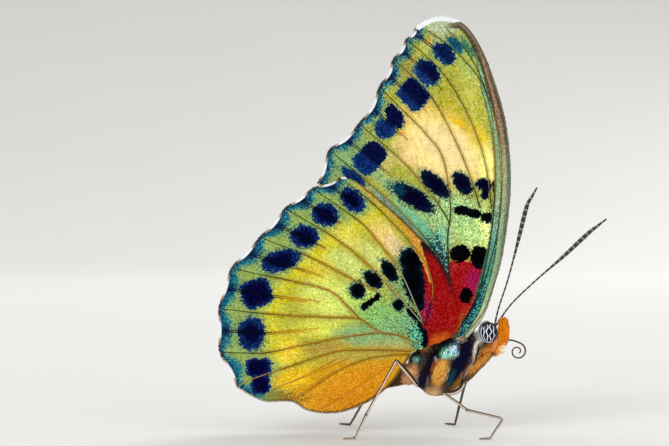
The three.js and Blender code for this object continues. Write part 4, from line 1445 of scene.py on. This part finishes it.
def body_finish(name, roughness):
    """Bands of coloured fur, with teal scales and painted white glints behind the wings' roots."""
    finish = Finish(name, **{"Roughness": roughness, "Specular IOR Level": 0.1})
    plan = finish.vector("plan")
    tone = finish.value("tone")
    grain = finish.noise(plan, 3.0, 3.0)
    ragged = (tone - 0.5) * 0.3 + (grain - 0.5) * 0.5
    colour = "5c4630"
    for code, centre, size, turn, inner in BODY_ZONES:
        far = finish.patch(plan, centre, size, turn) + ragged
        colour = finish.mix(far.fade(1.12, inner), colour, code)
    teal_and_glint_patch = finish.patch(plan, (4.9, 11.5), (1.35, 1.1), 25).fade(1.0, 0.7)
    # The white specks are painted glints; the teal specks are the scales' own colour.
    colour = finish.mix(teal_and_glint_patch * tone.fade(0.72, 0.76), colour, "effcff")
    colour = finish.mix(teal_and_glint_patch * tone.fade(0.3, 0.26), colour, "1f7488")
    value = (tone * 1.3 + 0.75) * (finish.value("tip") * 0.6 + 0.75)
    finish.paint(finish.shift(colour, tone * 0.04 + 0.48, value=value))
    finish.paint(grain * 0.2 + roughness - 0.1, "Roughness")
    finish.bump(finish.noise(finish.place(), 8.0, 2.0), 0.5, 0.08)
    return finish.material


EYE_GLOSS = {
    "Roughness": 0.12, "Specular IOR Level": 0.15, "Coat Weight": 0.12, "Coat Roughness": 0.05,
}


def eye_finish():
    """Black, with a net of pale lines that runs up and down, over fine facets."""
    finish = Finish("eye_facets", **EYE_GLOSS)
    arc, reach = finish.vector("arc"), finish.value("reach")
    sway, (x, y) = EYE_NET["sway"], EYE_NET["cell_at"]
    swayed = finish.vectors("MULTIPLY", finish.noise(arc, 1.1, 1.0, "Color"), (sway, sway, 0))
    swayed = finish.vectors("ADD", swayed, arc)
    middle = (x + sway / 2, y + sway / 2 + EYE_NET["row"] / 2, 0)
    swayed = finish.vectors("SUBTRACT", swayed, middle)
    columns = finish.part(swayed, 0) * (math.pi / EYE_NET["column"])
    rows = finish.part(swayed, 1) * (2 * math.pi / EYE_NET["row"])
    wavy = columns + columns.math("SINE") * rows.math("COSINE") * 0.62
    uprights = wavy.math("COSINE").math("ABSOLUTE").fade(0.52, 0.3)
    links = (columns.math("COSINE") * rows.math("COSINE")).fade(0.82, 0.94)
    net = uprights.most(links * 0.6) * reach.fade(0.84, 0.72)
    low_back = finish.vectors("DOT_PRODUCT", arc, (-1, -1, 0), "Value")
    ring = reach.fade(0.84, 0.87) * reach.fade(0.95, 0.92) * low_back.fade(0.2, 0.8)
    line = net.most(ring)
    finish.paint(finish.mix(line, "030409", "e4e8fb"))
    finish.paint(line * 0.15 + 0.12, "Roughness")
    cells = {"Vector": finish.place(), "Scale": 16.0}
    finish.bump(finish.node("ShaderNodeTexVoronoi", None, cells, "Distance"), 0.15, 0.02)
    return finish.material


def horn_finish(name, dark, pale, roughness, period):
    """Horn with pale marks at each joint along its length."""
    finish = Finish(name, Roughness=roughness)
    ring = (finish.value("along") * (2 * math.pi / period)).math("SINE")
    grain = finish.noise(finish.place(), 6.0, 2.0)
    mark = (ring + (grain - 0.5)).fade(0.45, 0.8)
    finish.paint(finish.mix(mark * 0.8, dark, pale))
    finish.paint(grain * 0.25 + roughness - 0.1, "Roughness")
    finish.bump(grain, 0.4, 0.03)
    return finish.material


def leg_finish():
    """Cream along the side, dark along the back and at the joints, with painted shade on the side towards
    the body.
    """
    finish = Finish("leg_horn", Roughness=0.45)
    place = finish.place()
    grain = finish.noise(place, 5.0, 3.0)
    dorsal = finish.value("dorsal") + (grain - 0.5) * 0.3
    dark = dorsal.fade(-0.02, 0.18).most(dorsal.fade(-0.66, -0.82))
    pale = finish.mix(finish.part(place, 0).fade(0.5, 3.0), "ecd0ba", "d2bca2")
    colour = finish.mix(dark, pale, "1c100c")
    # Painted shade: the side that faces the body is darkened.
    colour = finish.mix(finish.value("inner").fade(0.1, 0.6) * 0.8, colour, "32241c")
    finish.paint(finish.mix(finish.value("joint").fade(0.35, 0.0) * 0.8, colour, "3a2416"))
    finish.paint(grain * 0.25 + 0.35, "Roughness")
    finish.bump(grain, 0.5, 0.04)
    return finish.material


def leg_radii(along, knee, ankle):
    """Half the leg's width along it: a swollen femur, an even tibia and a jointed foot."""
    bulge = np.sin(np.clip(along / knee, 0, 1) * np.pi)
    radii = np.where(along < knee, LEG["femur"] + LEG["femur_bulge"] * bulge, LEG["tibia"])
    joint = np.abs(((along - ankle) / LEG["foot_joint"]) % 1 - 0.5) * 2
    foot = LEG["foot"] - LEG["foot_narrows"] * np.clip((along - ankle) / (along[-1] - ankle), 0, 1)
    radii = np.where(along > ankle, foot + LEG["foot_swells"] * (1 - joint**4), radii)
    for at, (swelling, reach) in ((knee, LEG["knee"]), (ankle, LEG["ankle"])):
        radii = radii + swelling * np.exp(-(((along - at) / reach) ** 2))
    return radii


def leg_spines(line, along, knee):
    """Pairs of short bristles down the tibia and foot."""
    rng = np.random.default_rng(SEED)
    shapes = []
    for at in np.arange(knee + 0.5, along[-1] - 0.2, SPINE["step"]):
        base = line_at(line, along, at)[0]
        ahead = unit(line_at(line, along, at + 0.3)[0] - base + 1e-9)
        for _ in range(2):
            out = unit(np.cross(ahead, rng.normal(0, 1, 3)))
            end = base + out * SPINE["out"] + ahead * SPINE["ahead"]
            end[2] = max(end[2], SPINE["over_floor"])
            shapes.append(tube([base, (base + end) / 2 + out * 0.02, end], SPINE["radii"], 5))
    return shapes


def leg_claws(heel, tip):
    """Two hooks that part at the tip of the foot and bend down."""
    ahead = unit(tip - heel)
    shapes = []
    for turn in (-1, 1):
        sideways = np.cross(ahead, (0, 0, 1)) * turn
        hook = [tip + ahead * a + sideways * b + (0, 0, c) for a, b, c in (CLAW["bend"], CLAW["tip"])]
        shapes.append(tube([tip, *hook], CLAW["radii"], 6))
    return shapes


def leg_shape(leg, side):
    """A leg from hip to claw, with its spines and claws, and what its finish reads."""
    femur, tibia = smooth_line(leg["femur"], 24), smooth_line(leg["tibia"], 22)
    foot = np.array(leg["tarsus"], float)
    line = np.concatenate([femur, tibia[1:], even_line(foot, 0.07)[1:]])
    along = lengths_along(line)
    knee, ankle = along[len(femur) - 1], along[len(femur) + len(tibia) - 2]
    shaft = tube(line, leg_radii(along, knee, ankle), LEG["sides"], (0.3, 1, 0))
    out = unit(shaft[0][:-2].reshape(-1, LEG["sides"], 3) - line[:, None])
    ahead = unit(np.gradient(line, axis=0))
    back = unit(np.column_stack([-ahead[:, 2], np.zeros(len(line)), ahead[:, 0]]))
    back *= np.where(back[:, 2:] < 0, -1, 1)
    near = np.minimum(np.abs(along - knee), np.abs(along - ankle))
    values = {
        "dorsal": (out * back[:, None]).sum(-1).ravel(),
        # How far each point faces the body, which the finish darkens as painted shade.
        "inner": -out[..., 1].ravel() * side,
        "joint": np.repeat(near, LEG["sides"]),
    }
    made, faces = joined([shaft, *leg_spines(line, along, knee), *leg_claws(foot[-2], foot[-1])])
    extra = np.ones(len(made) - len(shaft[0]))
    return made, faces, {key: np.r_[value, 0, 0, extra] for key, value in values.items()}


# ---- Settings and operators -------------------------------------------------------------------


class ButterflySettings(bpy.types.PropertyGroup):
    """What a user of the model may want to change."""

    membrane: FloatProperty(
        name="Membrane", description="Thickness of a wing's membrane", default=0.12 * MM, unit="LENGTH"
    )
    scale_pitch: FloatProperty(
        name="Scale pitch", description="From one row of scales to the next", unit="LENGTH",
        default=0.152 * MM,
    )
    scale_length: FloatProperty(
        name="Scale length", description="Length of a wing scale", default=0.25 * MM, unit="LENGTH"
    )
    fur_density: FloatProperty(
        name="Fur density", description="Locks of fur on a square millimetre of skin", default=82.0
    )
    fur_length: FloatProperty(
        name="Fur length", description="Length of the fur against its usual length", subtype="FACTOR",
        default=1.0,
    )
    skin_voxel: FloatProperty(
        name="Skin detail", description="Grid of the body's skin", default=0.11 * MM, unit="LENGTH"
    )
    floor_colour: FloatVectorProperty(
        name="Floor", description="Colour of the studio floor", subtype="COLOR",
        default=(0.56, 0.56, 0.55),
    )
    key_power: FloatProperty(
        name="Key light", description="Power of the key light", default=7.2, subtype="POWER"
    )
    seed: IntProperty(name="Seed", description="Seed of everything that varies", default=SEED)


def settings_now():
    return bpy.context.scene.butterfly


def make_wing(kind):
    if kind == "forewing":
        return Wing(FOREWING, FOREWING_VEINS, FOREWING_FOLDS, [], half_gap)
    return Wing(HINDWING, HINDWING_VEINS, HINDWING_FOLDS, HINDWING_CREASES, hind_half_gap)


MARKINGS = {"forewing": forewing_markings, "hindwing": hindwing_markings}
HORN_SIDES = 12
SKIN_ROUNDS = 6  # how often the body's skin is smoothed
BAKE_GAP = 14  # how far apart the two sides of the fur lie on their bake map
# How uneven the scales' brightness is: in most places, and in each wing's calm patches.
GRAIN = {"forewing": 0.95, "hindwing": 0.7}
CALM_GRAIN = 0.45
CALM_PATCHES = {
    "forewing": [((4.4, 38.4), (7.4, 4.6), -20, False), ((7.4, 18.4), (3.6, 7.0), -22, False)],
    "hindwing": [((-9.0, 5.9), (12.8, 5.5), 20, False), ((3.0, 18.4), (3.4, 7.6), 8, False)],
}
BUSY_PATCH = {"forewing": ((7.0, 29.5), (5.0, 4.6), 0), "hindwing": ((-2.4, 18.0), (5.0, 5.0), 0)}
# Colours near the root, further out and by the margin, and how far from the margin the last turn runs.
CREASE_COLOURS = ("c4860f", "c4860f", "03062c", (8.0, 6.8))
VEIN_COLOURS = {
    "forewing": ("2a3018", "a0701e", "1b1c10", (8.0, 3.0)),
    "hindwing": ("8c6420", "a8701a", "24260e", (10.0, 5.5)),
}


class BUTTERFLY_OT_wings(bpy.types.Operator):
    """Membranes, scales, fringe, veins and creases of all four wings"""

    bl_idname = "butterfly.wings"
    bl_label = "Wings"

    def execute(self, context):
        settings = settings_now()
        upper, fringe = upper_finish(), fringe_finish()
        creases = vein_finish("wing_creases", *CREASE_COLOURS)
        wings = {kind: make_wing(kind) for kind in MARKINGS}
        pitch, length = settings.scale_pitch / MM, settings.scale_length / MM
        for kind, wing in wings.items():
            under = wing_finish(kind)
            ribs = vein_finish(f"{kind}_veins", *VEIN_COLOURS[kind])
            rng = np.random.default_rng(settings.seed)
            hidden_by = wings["hindwing"] if kind == "forewing" else None
            layers = {
                "membrane": (membrane(wing, settings.membrane / MM), [under, upper]),
                "scales": (wing_scales(wing, pitch, length, rng, hidden_by), [under]),
                "fringe": (fringe_hairs(wing, rng), [fringe]),
                "veins": (vein_tubes(wing), [ribs]),
                "creases": (crease_tubes(wing), [creases]),
            }
            for side in SIDES:
                self.add_layers(f"{kind}_{side}", side, layers)
        return {"FINISHED"}

    def add_layers(self, wing_name, side, layers):
        """The layers of one wing: the membrane stands for the wing's node, and the others lie on it."""
        for layer, ((points, faces, values, options), finishes) in layers.items():
            points, faces = on_side(points, faces, SIDES[side])
            mesh = new_mesh(f"{wing_name}_{layer}", points, faces, values, **options)
            add_piece(mesh, finishes, [wing_name] if layer == "membrane" else ())


class BUTTERFLY_OT_body(bpy.types.Operator):
    """One skin over thorax, head, abdomen, palps and forelegs, with its fur"""

    bl_idname = "butterfly.body"
    bl_label = "Body and fur"

    def execute(self, context):
        settings = settings_now()
        rng = np.random.default_rng(settings.seed)
        points, faces = skin_over(body_shapes(), settings.skin_voxel / MM, SKIN_ROUNDS)
        count = len(points)
        values = {"plan": body_plan(points), "tone": np.full(count, 0.25), "tip": np.zeros(count)}
        skin = new_mesh("body_skin", points, faces, values)
        nodes = ["thorax", "head", "abdomen", "palp_right", "palp_left", "foreleg_right", "foreleg_left"]
        add_piece(skin, [body_finish("body_skin", 0.8)], nodes)
        finish = body_finish("body_fur", 0.6)
        low, high = points.min(0), points.max(0)
        for side_name, side in SIDES.items():
            made, blades, values = body_fur(
                points, faces, settings.fur_density, settings.fur_length, rng, side
            )
            unwrapped = values["plan"][:, :2] + (0, 0 if side < 0 else BAKE_GAP)
            corners = (low[0], low[2]), (high[0], high[2] + BAKE_GAP)
            patches = bake_patches(unwrapped, *corners, LOCK_POINTS)
            fur = new_mesh(f"body_{side_name}_fur", made, blades, values, patches=patches)
            add_piece(fur, [finish])
        return {"FINISHED"}


class BUTTERFLY_OT_head(bpy.types.Operator):
    """Eyes, antennae and proboscis"""

    bl_idname = "butterfly.head"
    bl_label = "Eyes, antennae and proboscis"

    def execute(self, context):
        eye = eye_finish()
        horn = horn_finish("antenna_horn", "140d0a", "8c8480", roughness=0.45, period=0.9)
        tongue = horn_finish("proboscis_horn", "2a1a12", "4a3424", roughness=0.35, period=0.3)
        for side in SIDES:
            self.add_eye(side, eye)
            self.add_antenna(side, horn)
        self.add_proboscis(tongue)
        return {"FINISHED"}

    def add_eye(self, side, finish):
        """A round eye, whose finish reads where each point lies on the net and how far from its middle."""
        at = np.array(EYE["at"]) * (1, SIDES[side], 1)
        points, faces = ball(at, EYE["radii"], 64, 48)
        round_eye = unit((points - at) / EYE["radii"])
        turn = np.arctan2(round_eye[:, 0], round_eye[:, 1] * SIDES[side]) * EYE["radii"][0]
        rise = np.arcsin(round_eye[:, 2]) * EYE["radii"][2]
        values = {
            "arc": np.column_stack([turn, rise, np.zeros(len(points))]),
            "reach": np.hypot(round_eye[:, 0], round_eye[:, 2]),
        }
        add_piece(new_mesh(f"eye_{side}_facets", points, faces, values), [finish], [f"eye_{side}"])

    def add_antenna(self, side, finish):
        """A ringed shaft that swells to a club."""
        line = even_line(smooth_line(ANTENNAE[side], 120), 0.075)
        radii = smooth_line(np.column_stack([ANTENNA_RADII, ANTENNA_RADII]), len(line))[:, 0]
        rings = np.sin(lengths_along(line) * 2 * np.pi / ANTENNA_RINGS["length"])
        radii = radii * (1 + ANTENNA_RINGS["swells"] * rings)
        self.add_horn(f"antenna_{side}_shaft", line, radii, finish, f"antenna_{side}")

    def add_proboscis(self, finish):
        """A tongue that runs out below the palps and rolls up in a flat coil."""
        centre = np.array(PROBOSCIS["coil_centre"])
        t = np.linspace(0, 1, 90)
        angle = math.radians(PROBOSCIS["start_angle"]) - t * PROBOSCIS["turns"] * 2 * np.pi
        r = PROBOSCIS["coil_from"] + (PROBOSCIS["coil_to"] - PROBOSCIS["coil_from"]) * t
        coil = centre + np.column_stack([np.cos(angle), np.sin(angle)]) * r[:, None]
        flat = np.concatenate([smooth_line([*PROBOSCIS["root"], coil[0]], 30)[:-1], coil])
        line = even_line(np.column_stack([flat[:, 0], np.zeros(len(flat)), flat[:, 1]]), 0.07)
        radii = np.linspace(*PROBOSCIS["radius"], len(line))
        self.add_horn("proboscis_coil", line, radii, finish, "proboscis")

    def add_horn(self, name, line, radii, finish, node):
        """A tube of horn, whose finish reads how far along it each point is."""
        points, faces = tube(line, radii, HORN_SIDES)
        along = lengths_along(line)
        values = {"along": np.r_[np.repeat(along, HORN_SIDES), 0, along[-1]]}
        add_piece(new_mesh(name, points, faces, values), [finish], [node])


class BUTTERFLY_OT_legs(bpy.types.Operator):
    """Four walking legs"""

    bl_idname = "butterfly.legs"
    bl_label = "Legs"

    def execute(self, context):
        finish = leg_finish()
        for name, leg in LEGS.items():
            made, faces, values = leg_shape(leg, SIDES[name.split("_")[1]])
            nodes = [f"{name}_{part}" for part in ("femur", "tibia", "tarsus")]
            add_piece(new_mesh(f"leg_{name}", made, faces, values), [finish], nodes)
        return {"FINISHED"}


class BUTTERFLY_OT_stage(bpy.types.Operator):
    """Floor, soft lights and camera"""

    bl_idname = "butterfly.stage"
    bl_label = "Stage"

    def execute(self, context):
        settings = settings_now()
        self.add_floor(settings)
        self.add_lights(settings)
        self.add_camera(context.scene)
        world = bpy.data.worlds.new("studio")
        world.use_nodes = True
        for key, value in SKY.items():
            world.node_tree.nodes["Background"].inputs[key].default_value = value
        context.scene.world = world
        context.scene.view_settings.view_transform = "Standard"
        return {"FINISHED"}

    def add_floor(self, settings):
        """A round floor whose rim sweeps up into a wall, so that it has no edge from any side."""
        finish = Finish("studio_floor", **{"Roughness": 0.85, "Specular IOR Level": 0.1})
        grain = finish.noise(finish.place(), 0.01, 2.0)
        pale = (*settings.floor_colour, 1)
        dim = (*[c * 0.96 for c in settings.floor_colour], 1)
        finish.paint(finish.mix(grain, pale, dim))
        (first, inner_rings), flat, bend = FLOOR["inner_rings"], FLOOR["flat"], FLOOR["bend"]
        around = FLOOR["around"]
        sweep = np.linspace(0, np.pi / 2, FLOOR["bend_rings"])
        reach = np.r_[np.linspace(first, flat, inner_rings)[:-1], flat + bend * np.sin(sweep)]
        height = np.r_[np.zeros(inner_rings - 1), bend - bend * np.cos(sweep)]
        turn = np.arange(around) * 2 * np.pi / around
        spin = np.column_stack([np.cos(turn), np.sin(turn)])
        rings = [np.column_stack([spin * r, np.full(around, z)]) for r, z in zip(reach, height)]
        points = np.concatenate([*rings, [(0, 0, 0)]])
        a = np.arange(len(rings) - 1)[:, None] * around + np.arange(around)
        b = np.arange(len(rings) - 1)[:, None] * around + (np.arange(around) + 1) % around
        quads = np.stack([a, a + around, b + around, b], -1).reshape(-1, 4)
        hub = np.column_stack([np.full(around, len(points) - 1), a[0], b[0]])
        mesh = new_mesh("studio_floor", points, [quads, hub])
        mesh.materials.append(finish.material)
        floor = bpy.data.objects.new("studio_floor", mesh)
        bpy.context.scene.collection.objects.link(floor)

    def add_lights(self, settings):
        """Soft square lamps round the model, each turned to its middle."""
        aim = Vector(LAMP_AIM) * MM
        for name, (at, size, share) in LAMPS.items():
            lamp = bpy.data.lights.new(name, "AREA")
            lamp.energy, lamp.size = settings.key_power * share, size
            light = bpy.data.objects.new(name, lamp)
            light.location = Vector(at) * MM
            light.rotation_euler = (aim - light.location).to_track_quat("-Z", "Y").to_euler()
            bpy.context.scene.collection.objects.link(light)

    def add_camera(self, scene):
        """A camera that looks level at the closed wings."""
        lens = bpy.data.cameras.new("camera")
        lens.lens, lens.sensor_width = VIEW["lens"], VIEW["sensor"]
        lens.clip_start, lens.clip_end = 0.01, 20
        camera = bpy.data.objects.new("camera", lens)
        back = VIEW["width"] * VIEW["lens"] / VIEW["sensor"]
        camera.location = Vector((VIEW["centre"][0], -back, VIEW["centre"][1])) * MM
        camera.rotation_euler = (math.radians(90), 0, 0)
        scene.collection.objects.link(camera)
        scene.camera = camera


STEPS = (
    BUTTERFLY_OT_stage, BUTTERFLY_OT_wings, BUTTERFLY_OT_body, BUTTERFLY_OT_head, BUTTERFLY_OT_legs,
)


class BUTTERFLY_PT_panel(bpy.types.Panel):
    """Lists the steps and settings of the model"""

    bl_idname = "BUTTERFLY_PT_panel"
    bl_label = "Butterfly"
    bl_space_type = "VIEW_3D"
    bl_region_type = "UI"
    bl_category = "Butterfly"

    def draw(self, context):
        for key in ButterflySettings.__annotations__:
            self.layout.prop(context.scene.butterfly, key)
        for step in STEPS:
            self.layout.operator(step.bl_idname)


CLASSES = (ButterflySettings, *STEPS, BUTTERFLY_PT_panel)


def register():
    for cls in CLASSES:
        bpy.utils.register_class(cls)
    bpy.types.Scene.butterfly = PointerProperty(type=ButterflySettings)


def unregister():
    del bpy.types.Scene.butterfly
    for cls in reversed(CLASSES):
        bpy.utils.unregister_class(cls)


def main():
    register()
    bpy.ops.butterfly.stage()
    bpy.ops.butterfly.wings()
    bpy.ops.butterfly.body()
    bpy.ops.butterfly.head()
    bpy.ops.butterfly.legs()


if __name__ == "__main__":
    main()
